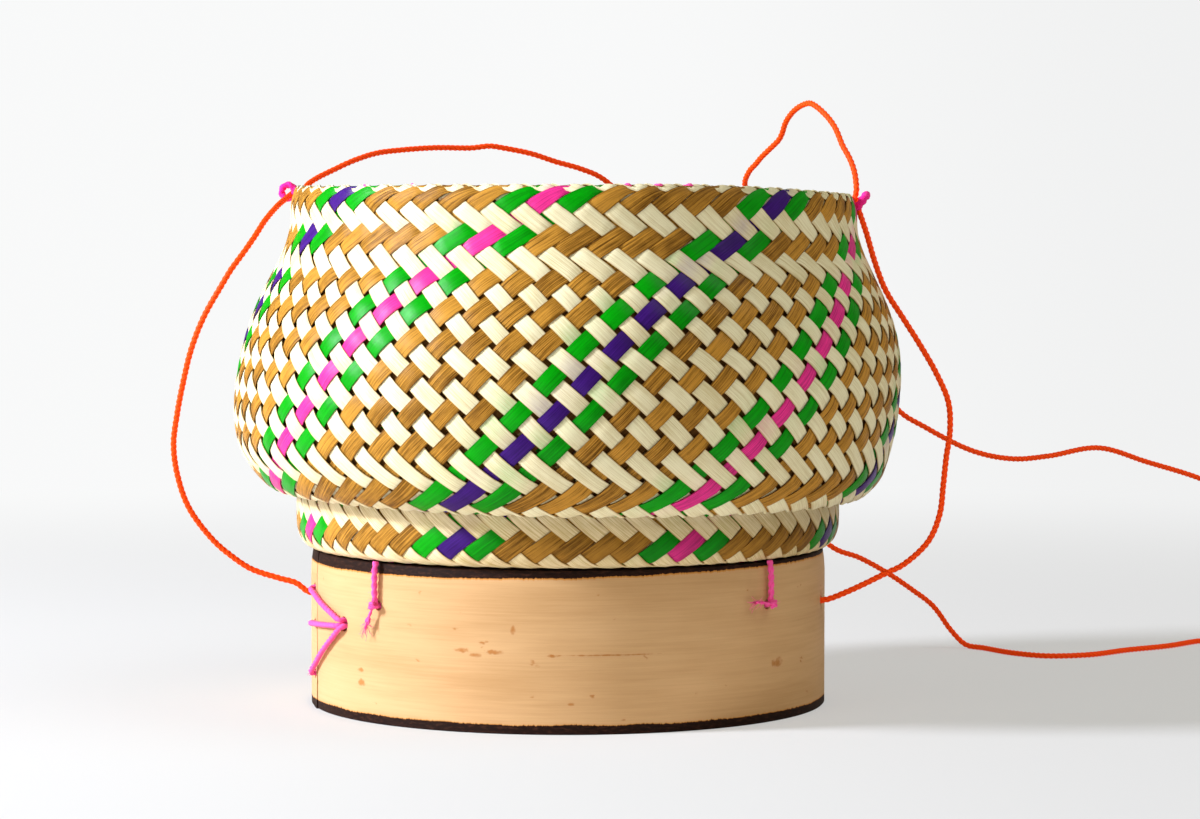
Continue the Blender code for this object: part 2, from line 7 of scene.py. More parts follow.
import random
from math import cos, degrees, hypot, pi, radians, sin
from types import SimpleNamespace

import bmesh
import bpy
import numpy as np
from mathutils import Matrix, Vector


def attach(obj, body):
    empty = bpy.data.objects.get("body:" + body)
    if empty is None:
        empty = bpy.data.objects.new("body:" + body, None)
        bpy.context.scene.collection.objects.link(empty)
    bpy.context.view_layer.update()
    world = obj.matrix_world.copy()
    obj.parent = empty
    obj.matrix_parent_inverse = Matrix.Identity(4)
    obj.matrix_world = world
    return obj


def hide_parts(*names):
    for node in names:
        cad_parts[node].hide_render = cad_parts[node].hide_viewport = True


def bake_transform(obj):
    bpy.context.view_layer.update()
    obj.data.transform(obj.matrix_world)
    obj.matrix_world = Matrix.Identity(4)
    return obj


bl_info = {
    "name": "Sticky rice basket",
    "version": (1, 0, 0),
    "blender": (4, 5, 0),
    "location": "3D View > Sidebar > Basket",
    "description": "Makes the woven walls, foot ring, yarn and cord of a sticky rice basket",
    "category": "Object",
}

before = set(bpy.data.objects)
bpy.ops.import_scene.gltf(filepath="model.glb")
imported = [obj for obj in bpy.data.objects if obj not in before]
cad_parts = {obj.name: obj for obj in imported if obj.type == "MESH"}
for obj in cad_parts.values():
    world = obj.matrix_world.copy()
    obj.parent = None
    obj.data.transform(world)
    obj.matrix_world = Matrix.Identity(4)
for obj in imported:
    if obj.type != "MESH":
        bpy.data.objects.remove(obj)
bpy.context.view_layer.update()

# Sizes that the measured basket is built with. Angles are in degrees from +X.
GAP = 0.0003
WALL = 0.0022
DISC = 0.0020
CUP_RADIUS = 0.0679
CUP_BASE = 0.0391
CUP_MOUTH = 0.1247
CUP_CORNER = 0.0070
CUP_LEDGE = 0.0045
FLOOR_BASE = 0.0416
FLOOR_RADIUS = 0.0638
LID_NECK = 0.0706
LID_TOP_BASE = 0.1250
LID_TOP_RADIUS = 0.06735
LID_RIM = 0.1299
LID_RIM_DRAW = 0.0011
LID_RIM_DRAW_HEIGHT = 0.0060
LID_DEPTH = 0.0771
LID_NECK_LENGTH = 0.0099
LID_BELLY_SWELL = 0.0125
LID_BELLY_DROP = 0.0529
LID_MOUTH_SWELL = 0.0034
FOOT_HEIGHT = 0.0388
FOOT_RADIUS = 0.0643
FOOT_WALL = 0.0024
FOOT_INSIDE = FOOT_RADIUS - FOOT_WALL
FOOT_FEATHER = 0.0004
FOOT_DRAW_IN = 0.0006
FOOT_DRAW_HEIGHT = 0.0060
LAP_END = -163.5
LAP_ANGLE = 40.0
LAP_DIVE = 18.0
LAP_INSIDE = FOOT_INSIDE - FOOT_FEATHER - GAP
LAP_EDGE = 0.00005
LAP_GAP = 0.00001
CORD_HOLE = 0.0023
CORD_KNOT = 0.0042
YARN_HOLE_ROOM = 0.0009
TIE_HOLE_HEIGHT = 0.0285
TIE_BEND = 0.0018
TIE_KNOT_OUT = 0.0004
CORD_HOLES = {"left": (178.0, 0.0268), "right": (-13.0, 0.0266)}
TIES = {"front_left": -134.5, "front_right": -41.5, "back_right": 41.5, "back_left": 134.5}
LAP_FRONT_HOLE = (-147.1, 0.0229)
LAP_FRONT_BORE = 0.0037
LAP_FRONT_SPREAD = 0.0009
LAP_BACK_HOLES = ((-166.0, 0.0298), (-166.0, 0.0210), (-166.0, 0.0085))
LAP_BEND = 0.0012
LAP_TAIL = 4.0

# The width and height of the slit that runs through each of the cord's holes.
CORD_SLIT = (0.0008, 0.0052)

# How far each tie's tail reaches to the side and upwards from its knot.
TAILS = {
    "front_left": (-0.0026, -0.0058),
    "front_right": (-0.0064, 0.0010),
    "back_right": (0.0010, -0.0055),
    "back_left": (0.0015, -0.0055),
}

# The loops: angle, height of the middle, turn of the ring, how far it points up, its radius, how far
# out its middle stands, and the yarn's thickness. Each starts at its root inside the lid's wall, and
# bends round from LOOP_START by LOOP_SWEEP.
LOOPS = {
    "left": (168.0, 0.1280, 90.0, 0.0, 0.0017, 0.0036, 0.0019),
    "right": (-0.8, 0.1263, 0.0, 52.0, 0.0019, 0.0018, 0.0023),
}
LOOP_ROOT = 0.0008
LOOP_START = -75.0
LOOP_SWEEP = 330.0
LOOP_STEPS = 24

# The lacings: inner and outer radius and the height of a crest. At the stitches that peep over the
# lid's rim the crest is higher.
STITCHES = 57
TOP_LACING = (0.0650, 0.0686, 0.1280)
FLOOR_LACING = (0.0600, 0.0632, 0.0450)
PEEPS = (35, 37, 44, 45, 46)
PEEP_RISE = 0.0010

# How yarn and cord are laid: the length of one turn and how deep the dips between the plies are.
# CORD_SWELL makes up for the dips, so that the cord is as thick as it is set.
TIE_LAY = (0.0036, 0.16)
TAIL_LAY = (0.0036, 0.2)
LOOP_LAY = (0.0036, 0.14)
SEWING_LAY = (0.0034, 0.16)
CORD_LAY = (0.0042, 0.13)
KNOT_LAY = (0.0042, 0.12)
CORD_SWELL = 1.14

# Fibres that stand off the yarn: their length and thickness.
TIE_HAIRS = (0.0018, 0.00006)
TAIL_HAIRS = (0.0030, 0.00009)
LAP_HAIRS = (0.0013, 0.00006)
LOOP_HAIRS = (0.0009, 0.00007)

# The small knots of the ties: their turns from a start in radians, the points along them, how far they
# reach to the side and outwards, and how far they drop.
TIE_KNOT_START = 0.6
TIE_KNOT_TURNS = 1.35
TIE_KNOT_STEPS = 21
TIE_KNOT_SIDE = 0.0009
TIE_KNOT_DEPTH = 0.0006
TIE_KNOT_DROP = 0.0010

# The cord's knots inside the ring: their turns, the points along them, how deep they are wound, and how
# long the end is that hangs from them.
KNOT_TURNS = 1.6
KNOT_STEPS = 39
KNOT_DEPTH = 0.0022
KNOT_END = 0.004

# The cord's way round, in millimetres, from the left hole of the foot ring to the right one.
CORD_ROUTE = (
    (-68.4, 2.3, 29.0), (-72.9, 2.3, 30.3), (-79.7, 2.0, 32.6), (-84.6, 1.5, 35.9), (-89.1, 1.0, 39.9),
    (-94.9, -1.0, 48.1), (-97.5, -3.0, 56.2), (-98.3, -5.0, 64.3), (-97.1, -7.0, 72.4), (-95.3, -9.0, 80.5),
    (-93.1, -11.0, 88.5), (-89.9, -12.0, 96.4), (-85.4, -12.0, 104.3), (-83.1, -11.0, 108.2),
    (-80.3, -9.0, 112.2), (-77.8, -6.0, 116.1), (-75.6, -2.0, 120.0), (-72.9, 5.0, 123.8),
    (-71.2, 12.0, 125.7), (-69.9, 17.6, 127.0), (-67.9, 24.6, 128.0), (-66.6, 29.5, 129.6),
    (-64.6, 32.5, 131.0), (-61.0, 36.0, 132.9), (-56.5, 39.0, 135.1), (-50.6, 44.0, 137.2),
    (-44.5, 49.0, 138.1), (-35.3, 55.0, 138.8), (-26.0, 60.0, 138.8), (-21.3, 62.0, 139.3),
    (-16.5, 64.0, 138.6), (-10.2, 66.5, 137.3), (-3.8, 69.0, 135.2), (2.6, 71.5, 133.4), (8.4, 74.6, 130.9),
    (14.0, 79.5, 125.5), (21.0, 88.0, 112.0), (32.0, 96.0, 92.0), (45.0, 97.5, 70.0), (58.0, 94.0, 46.0),
    (71.5, 92.0, 29.9), (79.7, 95.5, 26.3), (87.5, 99.0, 21.8), (94.4, 102.0, 17.0), (100.7, 104.5, 12.0),
    (106.0, 106.5, 4.9), (109.8, 105.5, 1.2), (114.6, 100.5, 0.75), (121.8, 88.6, 0.75),
    (130.2, 82.3, 0.75), (141.4, 84.6, 0.75), (153.9, 95.9, 0.75), (166.3, 105.1, 0.75),
    (177.1, 116.9, 0.75), (189.0, 124.0, 0.75), (201.0, 126.0, 4.5), (208.5, 124.5, 15.0),
    (206.0, 121.5, 28.0), (194.0, 117.5, 39.0), (175.9, 112.0, 47.0), (159.9, 104.0, 52.2),
    (145.6, 97.0, 56.6), (130.7, 89.0, 54.9), (120.5, 84.0, 54.5), (109.1, 79.0, 57.0), (95.8, 75.5, 63.7),
    (88.4, 75.0, 68.5), (80.0, 76.5, 83.0), (70.0, 76.0, 103.0), (56.0, 68.0, 118.0), (47.6, 60.0, 126.0),
    (46.2, 55.0, 129.6), (47.4, 50.5, 132.9), (48.8, 48.0, 134.5), (50.0, 45.5, 136.1), (53.0, 41.0, 139.2),
    (54.4, 39.0, 140.7), (55.1, 37.5, 142.2), (56.0, 34.0, 145.3), (58.1, 29.0, 148.3), (60.8, 24.0, 149.8),
    (62.4, 20.0, 149.4), (65.4, 15.5, 146.5), (67.4, 12.0, 143.4), (69.1, 8.0, 138.8), (70.6, 5.6, 135.8),
    (71.6, 3.4, 132.8), (72.0, 1.4, 129.8), (72.0, 0.2, 127.4), (71.7, -0.2, 125.9), (72.3, -1.1, 123.5),
    (73.3, -3.0, 120.2), (74.3, -5.0, 116.8), (76.1, -8.5, 109.9), (78.6, -11.0, 103.0), (82.9, -12.0, 96.1),
    (87.2, -12.5, 89.3), (91.1, -13.5, 82.4), (93.9, -14.5, 75.6), (94.3, -15.0, 68.5), (93.4, -15.0, 61.8),
    (92.7, -15.0, 54.9), (91.9, -15.0, 48.0), (89.2, -14.0, 41.1), (83.2, -13.5, 35.3), (78.8, -13.6, 33.1),
    (69.6, -14.6, 28.8),
)

# The weave. As many strips run each way round a wall, so a strip moves half a pitch at each row. Strips
# lie LAYER_DEPTH within the wall's faces. A wall's line is measured at steps of SAMPLE, and a strip has
# SAMPLES_PER_ROW points to a row.
STRIPS = 63
HALF_PITCH = 180.0 / STRIPS
LAYER_DEPTH = 0.0005
SAMPLE = 0.00015
SAMPLES_PER_ROW = 4.2

# A wall's floats begin at FIRST_ROW, inside its upper fold. Its strips begin at START_ROW, go down the
# outside and up the inside in rows of INSIDE_ROW, and end END_ROOM short of the fold.
FIRST_ROW = -3
START_ROW = -2.7
INSIDE_ROW = 0.0036
END_ROOM = 0.004

# Where strips lie flatter, at the crest's row and at the lower fold: how much, and over how many rows.
CREST_ROW = -0.4
CREST_FLATNESS = (0.75, 0.8)
FOLD_FLATNESS = (0.5, 1.1)

# How unlike each other strips are: the range of their widths, how far they drift to the side, and the
# share of the room between their neighbours that they may fill.
STRIP_RANGE = (0.95, 1.04)
DRIFT = 0.00012
STRIP_ROOM = 0.98

# A strip's section, as shares of its width and of its thickness, and its measure across for the finish.
# BACK_BAND is the section's band that is the strip's back.
STRIP_ACROSS = (-0.5, -0.34, 0.34, 0.5, 0.5, -0.5, -0.5)
STRIP_CROWN = 0.35
STRIP_MEASURE = 0.98 * np.array([0.0, 0.16, 0.84, 1.0, 0.985, 0.015, 0.0])
BACK_BAND = 4
STRIP_DYES = ("brown", "green", "pink", "purple")

# The mats: from one strip to the next, the shortest strip's half, how they are turned, and how often a
# dyed trio comes.
DISC_PITCH = 0.0049
DISC_SHORTEST = 0.004
DISC_TURN = 38.0
DISC_TRIO = 8
DISC_RANGE = (0.95, 1.03)

# Edges sharper than this many degrees show as edges.
SHARP = 35.0

# How far the woven walls lean to the right: height and shift.
LID_LEAN = (
    (0.050, 0.0002), (0.058, -0.0002), (0.063, -0.00075), (0.069, -0.0006), (0.075, -0.0003),
    (0.081, 0.0002), (0.085, 0.0005), (0.095, 0.0009), (0.102, 0.0010), (0.110, 0.0013), (0.118, 0.0015),
    (0.131, 0.0015),
)
CUP_LEAN = ((0.038, 0.0), (0.055, 0.0), (0.085, 0.0005), (0.118, 0.0013), (0.131, 0.0014))

# The lid's rim dips at its left and right sides and a little at the back. Its mouth is tilted, and nods
# to the front. A reach is where such a change starts, and how far on it is whole. The mouth's reach
# counts downwards.
RIM_REACH = (0.100, 0.025)
RIM_DIPS = (0.0005, 0.0027)
RIM_DIP_REACH = (0.020, 0.050)
RIM_NOD = 0.0007
RIM_NOD_REACH = (0.0, 0.060)
MOUTH_REACH = (-0.085, 0.030)
MOUTH_TILT = 0.0150
MOUTH_NOD = 0.0120

# The strips' unevenness fades out between these angles from the front. SLIDE_REACH says how far below the
# upper fold strips begin to slide, and how far on they slide freely.
EVEN_FROM = 90.0
EVEN_AT = 150.0
SLIDE_REACH = (0.002, 0.006)

# How each wall is woven.
# floats: which strips lie on top, row by row from FIRST_ROW: k coloured, c cream.
# rows: where rows lie on the outside, as a row and its height. The lower fold is at fold_row.
# turn: the angle of strip 0 at row 0, from the front towards the right.
# twist: how far rows are turned from true, as a row and an angle.
# widths: strips' widths as shares of the strip width, as a row and a share, coloured and then cream.
# trios: the middle strip of each dyed trio, which has a green strip on either side.
# bleeds: how strongly dye may run into a cream strip, one of which is drawn for each crossing.
# turns, slides: how unevenly strips lie at some angles from the front. Each pair is a length down the
# wall in mm, and how far strips there are turned in degrees or slid down in mm.
LID = SimpleNamespace(
    name="lid", node="lid_wall", body="lid", cream="cream strip", seed=11, lean=LID_LEAN, tilted=True,
    floats="kkcc" + "kkcckkcc" + "kc" * 5 + "k" + "cckkcckkcc" + "kc" * 14,
    rows=(
        (0, 0.1285), (1, 0.1271), (3, 0.1214), (5, 0.1167), (7, 0.1121), (9, 0.1067), (11, 0.0998),
        (13, 0.0921), (15, 0.0843), (17, 0.0762), (19, 0.0682), (21, 0.0610), (23, 0.0554),
    ),
    fold_row=24.4,
    turn=47.4,
    twist=(
        (-3, 0.5), (1.5, 0.0), (5.5, -0.9), (9, -1.25), (13, -1.5), (15, -0.6), (17, 0.2), (19, -0.5),
        (23, -2.9), (50, -3.5),
    ),
    widths=(((14, 1.06), (18, 0.90)), ((1, 1.25), (3, 0.98), (14, 0.98), (18, 1.09))),
    trios={
        0: "purple", 7: "pink", 15: "purple", 23: "pink", 31: "purple", 39: "pink", 47: "purple", 55: "pink",
    },
    bleeds=(0.0, 0.0, 0.1, 0.35),
    turns={
        -60: ((5, -4.5), (18, -3.5), (30, -1.5), (60, -1.2), (80, -1.0)),
        -30: ((5, -2.8), (30, -2.0), (60, -1.4), (75, 1.0)),
        0: ((5, -1.7), (30, -0.8), (60, -0.3), (75, 2.7)),
        30: ((5, 0.3), (30, -0.2), (45, -0.4), (60, -0.2), (75, 2.8)),
        60: ((5, 2.4), (30, -0.2), (45, -1.6), (60, -1.2), (75, 3.0)),
    },
    slides={
        -60: ((5, -2.0), (18, 0.0), (30, 0.5), (45, 0.3), (80, 0.8)),
        -30: ((5, -2.0), (20, -0.6), (45, -0.5), (60, -0.4), (80, 0.0)),
        0: ((5, -1.4), (25, 0.2), (45, 0.0), (80, -1.0)),
        30: ((5, -0.4), (20, 1.2), (30, 1.1), (45, 0.3), (60, -0.6), (80, -2.3)),
        60: ((5, 0.0), (20, 1.5), (35, 1.5), (55, -0.2), (80, -2.4)),
    },
)
CUP = SimpleNamespace(
    name="cup", node="basket_wall", body="basket", cream="cup cream strip", seed=23, lean=CUP_LEAN,
    tilted=False,
    floats="kkcc" + "kkcc" + "kc" * 8 + "k" + "cckkcccccc" + "kc" * 14,
    rows=(
        (1, 0.1222), (3, 0.1172), (5, 0.1118), (8, 0.1012), (12, 0.0868), (16, 0.0724), (20, 0.0580),
        (22, 0.0512), (24, 0.0456), (25, 0.0430), (26, 0.0406),
    ),
    fold_row=27.8,
    turn=47.55,
    twist=((0, 0.0),),
    widths=(((20, 1.0), (24, 1.2)), ((20, 1.0), (24, 1.0))),
    trios={
        0: "purple", 8: "pink", 16: "purple", 24: "pink", 32: "purple", 40: "pink", 48: "purple", 55: "pink",
    },
    bleeds=(0.0, 0.1),
    turns={-60: ((0, -0.5),), -30: ((0, -0.6),), 0: ((0, 1.2),), 30: ((0, 1.8),), 60: ((0, 2.3),)},
    slides={-60: ((0, -1.0),), -30: ((0, -0.9),), 0: ((0, 0.0),), 30: ((0, 0.4),), 60: ((0, 0.4),)},
)

# Stains on the front of the foot ring: place across, height of the middle, half width and half height. The
# browns are the stains', the painted shadow in the step at the strip's outer end, and the margins' scratches
# and painted sheen.
STAINS = (
    (-0.0124, 0.0247, 0.0009, 0.0014), (-0.0245, 0.0195, 0.0024, 0.0008), (-0.0215, 0.0184, 0.0021, 0.0007),
    (-0.0168, 0.0193, 0.0026, 0.0008), (-0.0030, 0.0187, 0.0022, 0.0005), (-0.0496, 0.0124, 0.0010, 0.0009),
    (-0.0494, 0.0095, 0.0013, 0.0013), (0.0012, 0.0072, 0.0011, 0.0006), (0.0135, 0.0034, 0.0008, 0.0004),
    (0.0105, 0.0188, 0.0160, 0.0003), (0.0506, 0.0142, 0.0018, 0.0016),
)
STAIN_BROWN = (0.42, 0.16, 0.035)
SEAM_SHADOW_BROWN = (0.22, 0.07, 0.015)
MARGIN_SCRATCHES_AND_SHEEN = (0.055, 0.021, 0.011)

# The dark margins of the stalk: how deep each is, how much less the upper one is at the right, and how
# far their teeth and their waves reach.
UPPER_MARGIN = 0.0026
UPPER_MARGIN_LOSS = 0.0017
LOWER_MARGIN = 0.0022
MARGIN_TEETH = 0.0013
UPPER_WAVES = 0.0008
LOWER_WAVES = 0.0012

# The camera, with its lens in pixels of a picture of this width, and how far it looks down in degrees.
CAMERA_PLACE = (0.008, -0.9625, 0.129)
CAMERA_DIP = 3.337
CAMERA_LENS = 3850.0
PICTURE_WIDTH = 1200.0
SENSOR_WIDTH = 36.0

# The lamps: name, place, size, power and colour. They all aim at the same height on the axis.
LAMPS = (
    ("key", (-1.129, -0.303, 0.64), 0.26, 30.0, (0.94, 0.975, 1.12)),
    ("top", (0.70, -0.20, 1.05), 0.90, 4.8, (1.0, 1.0, 1.0)),
    ("fill", (-0.95, -0.90, 0.05), 0.90, 4.9, (1.0, 0.99, 0.96)),
)
LAMP_AIM = Vector((0.0, 0.0, 0.07))

# The paper: its colour as it shows, for the light that it throws back, and where the basket's shadow
# falls on it. WORLD_LIGHT and WORLD_SHOWN are each a colour and a strength. The paper's tone fans out
# from a point that is PAPER_APEX in front of the basket.
PAPER_SHOWN = (0.945, 0.95, 0.95)
PAPER_LIT = (0.85, 0.82, 0.78)
FLOOR_LIT = (0.68, 0.675, 0.65)
WORLD_LIGHT = ((1.0, 0.945, 0.77), 0.235)
WORLD_SHOWN = (PAPER_SHOWN, 1.0)
FLOOR_SIZE = 2.5
BACKDROP_SIZE = 1.6
BACKDROP_PLACE = 2.4
PAPER_APEX = 0.9625

UP = Vector((0.0, 0.0, 1.0))


def around(radius, angle, height):
    """Return the point at a radius, an angle in degrees from +X and a height."""
    return Vector((radius * cos(radians(angle)), radius * sin(radians(angle)), height))


def directions(angle):
    """Return the directions outwards and sideways at an angle in degrees from +X."""
    outward = around(1.0, angle, 0.0)
    return outward, Vector((-outward.y, outward.x, 0.0))


def through_points(points, steps=10):
    """Return a smooth run through the points, as a centripetal Catmull-Rom curve."""
    run = [2 * points[0] - points[1], *points, 2 * points[-1] - points[-2]]
    smooth = []
    for p0, p1, p2, p3 in zip(run, run[1:], run[2:], run[3:]):
        t1 = (p1 - p0).length ** 0.5
        t2 = t1 + (p2 - p1).length ** 0.5
        t3 = t2 + (p3 - p2).length ** 0.5
        for step in range(steps):
            t = t1 + (t2 - t1) * step / steps
            a1 = p0 * ((t1 - t) / t1) + p1 * (t / t1)
            a2 = p1 * ((t2 - t) / (t2 - t1)) + p2 * ((t - t1) / (t2 - t1))
            a3 = p2 * ((t3 - t) / (t3 - t2)) + p3 * ((t - t2) / (t3 - t2))
            b1 = a1 * ((t2 - t) / t2) + a2 * (t / t2)
            b2 = a2 * ((t3 - t) / (t3 - t1)) + a3 * ((t - t1) / (t3 - t1))
            smooth.append(b1 * ((t2 - t) / (t2 - t1)) + b2 * ((t - t1) / (t2 - t1)))
    smooth.append(points[-1].copy())
    return smooth


def evenly(points, step):
    """Return points at even steps along a run of points, with both of its ends."""
    lengths = np.cumsum([0.0] + [(b - a).length for a, b in zip(points, points[1:])])
    count = max(2, round(lengths[-1] / step))
    places = np.linspace(0.0, lengths[-1], count + 1)
    columns = [np.interp(places, lengths, [p[i] for p in points]) for i in range(3)]
    return [Vector(spot) for spot in zip(*columns)]


def eased(knots, places):
    """Return the smooth curve through (place, value) knots at some places. One knot holds everywhere."""
    places = np.asarray(places, dtype=float)
    if len(knots) < 2:
        return np.full(places.shape, knots[0][1])
    x, y = np.array(knots, dtype=float).T
    slope = np.gradient(y, x)
    cell = np.clip(np.searchsorted(x, places) - 1, 0, len(x) - 2)
    width = x[cell + 1] - x[cell]
    t = (places - x[cell]) / width
    inside = np.clip(t, 0.0, 1.0)
    curve = (
        (1 + 2 * inside) * (1 - inside) ** 2 * y[cell] + inside ** 2 * (3 - 2 * inside) * y[cell + 1]
        + inside * (1 - inside) ** 2 * width * slope[cell]
        - inside ** 2 * (1 - inside) * width * slope[cell + 1]
    )
    beyond = np.where(t < 0, t * slope[cell], np.where(t > 1, (t - 1) * slope[cell + 1], 0.0)) * width
    return curve + beyond


def ramp(values, start, width, top=1.0):
    """Return 0 up to a start and 1 a width beyond it, with a straight rise between them."""
    return np.clip((values - start) / width, 0.0, top)


def slip(columns, lengths, angles):
    """Return the unevenness at some lengths down a wall and angles from the front."""
    places = list(columns)
    step = places[1] - places[0]
    held = np.clip(angles, places[0], places[-1])
    total = 0.0
    for place, knots in columns.items():
        share = np.clip(1.0 - np.abs(held - place) / step, 0.0, 1.0)
        total = total + share * eased(knots, np.clip(lengths * 1000.0, knots[0][0], knots[-1][0]))
    return total * np.clip((EVEN_AT - np.abs(angles)) / (EVEN_AT - EVEN_FROM), 0.0, 1.0)


def shifted(points, lean, tilted=False):
    """Return points moved by a wall's lean and, on the lid's wall, by its dips, tilt and nods."""
    points = np.array(points, dtype=float)
    x, y, z = points[..., 0].copy(), points[..., 1], points[..., 2].copy()
    points[..., 0] += eased(lean, np.clip(z, lean[0][0], lean[-1][0]))
    if tilted:
        upper = ramp(z, *RIM_REACH) ** 2
        beyond = ramp(np.abs(x), *RIM_DIP_REACH, 1.2) ** 2
        points[..., 2] -= upper * beyond * np.where(x < 0, *RIM_DIPS)
        points[..., 2] -= upper * RIM_NOD * ramp(y, *RIM_NOD_REACH)
        points[..., 2] -= ramp(-z, *MOUTH_REACH) * (MOUTH_TILT * x + MOUTH_NOD * np.maximum(-y, 0.0))
    return points


class Value:
    """An output of a finish's node, reckoned with as a number is."""

    def __init__(self, finish, socket):
        self.finish = finish
        self.socket = socket

    def reckon(self, operation, *values):
        """Add a Math node for an operation on some values."""
        return self.finish.node("Math", {"operation": operation}, values)

    def __add__(self, other):
        return self.reckon("ADD", self, other)

    def __sub__(self, other):
        return self.reckon("SUBTRACT", self, other)

    def __rsub__(self, other):
        return self.reckon("SUBTRACT", other, self)

    def __mul__(self, other):
        return self.reckon("MULTIPLY", self, other)

    def __truediv__(self, other):
        return self.reckon("DIVIDE", self, other)

    def __pow__(self, other):
        return self.reckon("POWER", self, other)

    __radd__ = __add__
    __rmul__ = __mul__

    def between(self, low, high):
        """Return 0 below low, 1 above high and a smooth rise between them."""
        settings = {"interpolation_type": "SMOOTHSTEP"}
        return self.finish.node("MapRange", settings, {"Value": self, "From Min": low, "From Max": high})

    def fraction(self):
        """Return what is left of it beyond a whole number."""
        return self.reckon("FRACT", self)

    def whole(self):
        """Return the whole number at or below it."""
        return self.reckon("FLOOR", self)

    def size(self):
        """Return it without its sign."""
        return self.reckon("ABSOLUTE", self)


class Finish:
    """A material under construction."""

    def __init__(self, name, **constants):
        self.material = bpy.data.materials.new(name)
        self.material.use_nodes = True
        self.tree = self.material.node_tree
        self.shader = self.tree.nodes["Principled BSDF"]
        self.set(**constants)

    def node(self, kind, settings=None, inputs=(), output=0):
        """Add a node with its settings and the values or links of its sockets."""
        node = self.tree.nodes.new("ShaderNode" + kind)
        for key, value in (settings or {}).items():
            setattr(node, key, value)
        pairs = inputs.items() if isinstance(inputs, dict) else enumerate(inputs)
        for key, value in pairs:
            self.feed(node.inputs[key], value)
        return Value(self, node.outputs[output])

    def feed(self, socket, value):
        """Link a value to a socket, or set the socket to a number or colour."""
        if isinstance(value, Value):
            self.tree.links.new(value.socket, socket)
        else:
            socket.default_value = value

    def mix(self, share, first, second):
        """Mix two colours, each given as a colour or as a value."""
        first, second = ((*c, 1.0) if isinstance(c, tuple) else c for c in (first, second))
        return self.node("Mix", {"data_type": "RGBA"}, {0: share, 6: first, 7: second}, output=2)

    def noise(self, parts, detail=2.0, roughness=0.5, scale=1.0):
        """Return soft noise at a point that is given by its three parts."""
        point = self.node("CombineXYZ", {}, parts)
        inputs = {"Vector": point, "Scale": scale, "Detail": detail, "Roughness": roughness}
        return self.node("TexNoise", {}, inputs)

    def attribute(self, name, output):
        """Return an output of an attribute that the piece's mesh carries."""
        return self.node("Attribute", {"attribute_name": name}, (), output=output)

    def uv(self):
        """Return the piece's own lengthways and crossways measure."""
        vector = self.node("UVMap", {"uv_map": "UVMap"})
        return [self.node("SeparateXYZ", {}, (vector,), output=i) for i in (0, 1)]

    def place(self):
        """Return the place on the object as X, Y and Z."""
        vector = self.node("TexCoord", {}, (), output="Object")
        return [self.node("SeparateXYZ", {}, (vector,), output=i) for i in (0, 1, 2)]

    def bump(self, height, distance, strength=1.0):
        """Give the surface a fine relief."""
        inputs = {"Height": height, "Distance": distance, "Strength": strength}
        self.feed(self.shader.inputs["Normal"], self.node("Bump", {}, inputs))

    def set(self, **values):
        """Set or feed the shader's sockets by name, and return the material."""
        sockets = {socket.name.lower().replace(" ", "_"): socket for socket in self.shader.inputs}
        for name, value in values.items():
            self.feed(sockets[name], value)
        return self.material


def shade(colour, share=1.0):
    """Return a colour as a tuple, made darker by a share."""
    return tuple(c * share for c in colour)


# lid_shadow_share scales the deep colour that the painted shadow under the lid's mouth darkens towards.
def straw_finish(name, pale, deep, gloss, dye=False, specular=0.11, lid_shadow_share=0.3):
    """Make the finish of a flat strip: fibres along it, dull edges and a tone of its own."""
    finish = Finish(name, specular_ior_level=specular)
    pale, deep = shade(pale), shade(deep)
    along, across = finish.uv()
    strip = across.whole()
    side = (across.fraction() - 0.5).size()
    tone = finish.node("TexWhiteNoise", {"noise_dimensions": "1D"}, {"W": strip + 0.37})
    fibres = finish.noise((along * 0.10, across * 17.0, strip), 3.0, 0.75)
    streaks = finish.noise((along * 0.05, across * 5.0, strip))
    patches = finish.noise((along * 0.25, across * 0.8, strip * 3.1))
    lines = finish.noise((along * 0.07, across * 31.0, strip * 1.3), 2.0, 0.6)
    share = fibres * 2.0 + lines * 2.0 + streaks * 0.7 + patches * 0.5 + tone * 0.30 - 2.34
    colour = finish.mix(share.between(0.0, 1.0), pale, deep)
    if dye:
        soaked = finish.noise((along * 0.3, across * 9.0, strip * 1.7))
        amount = finish.attribute("stain", "Alpha") * (soaked * 1.3 + 0.2).between(0.0, 1.1)
        colour = finish.mix(amount, colour, finish.attribute("stain", "Color"))

    # Painted shadow of the lid: below the lid's mouth the cup's strips are darker from its middle to the
    # right, where the lid's overhang shades them.
    x, _, z = finish.place()
    painted_lid_shadow = (1.0 - z.between(0.0495, 0.0515)) * x.between(-0.035, 0.0)
    colour = finish.mix(painted_lid_shadow * 0.30, colour, shade(deep, lid_shadow_share))

    edge = tuple(c * k for c, k in zip(deep, (0.80, 0.60, 0.40)))
    colour = finish.mix(side.between(0.42, 0.50) * 0.75, colour, edge)
    finish.bump(fibres * 0.6 + lines * 0.6 + streaks * 0.2, 0.00006)
    return finish.set(base_color=colour, roughness=gloss + (fibres + lines) * 0.16 - 0.05)


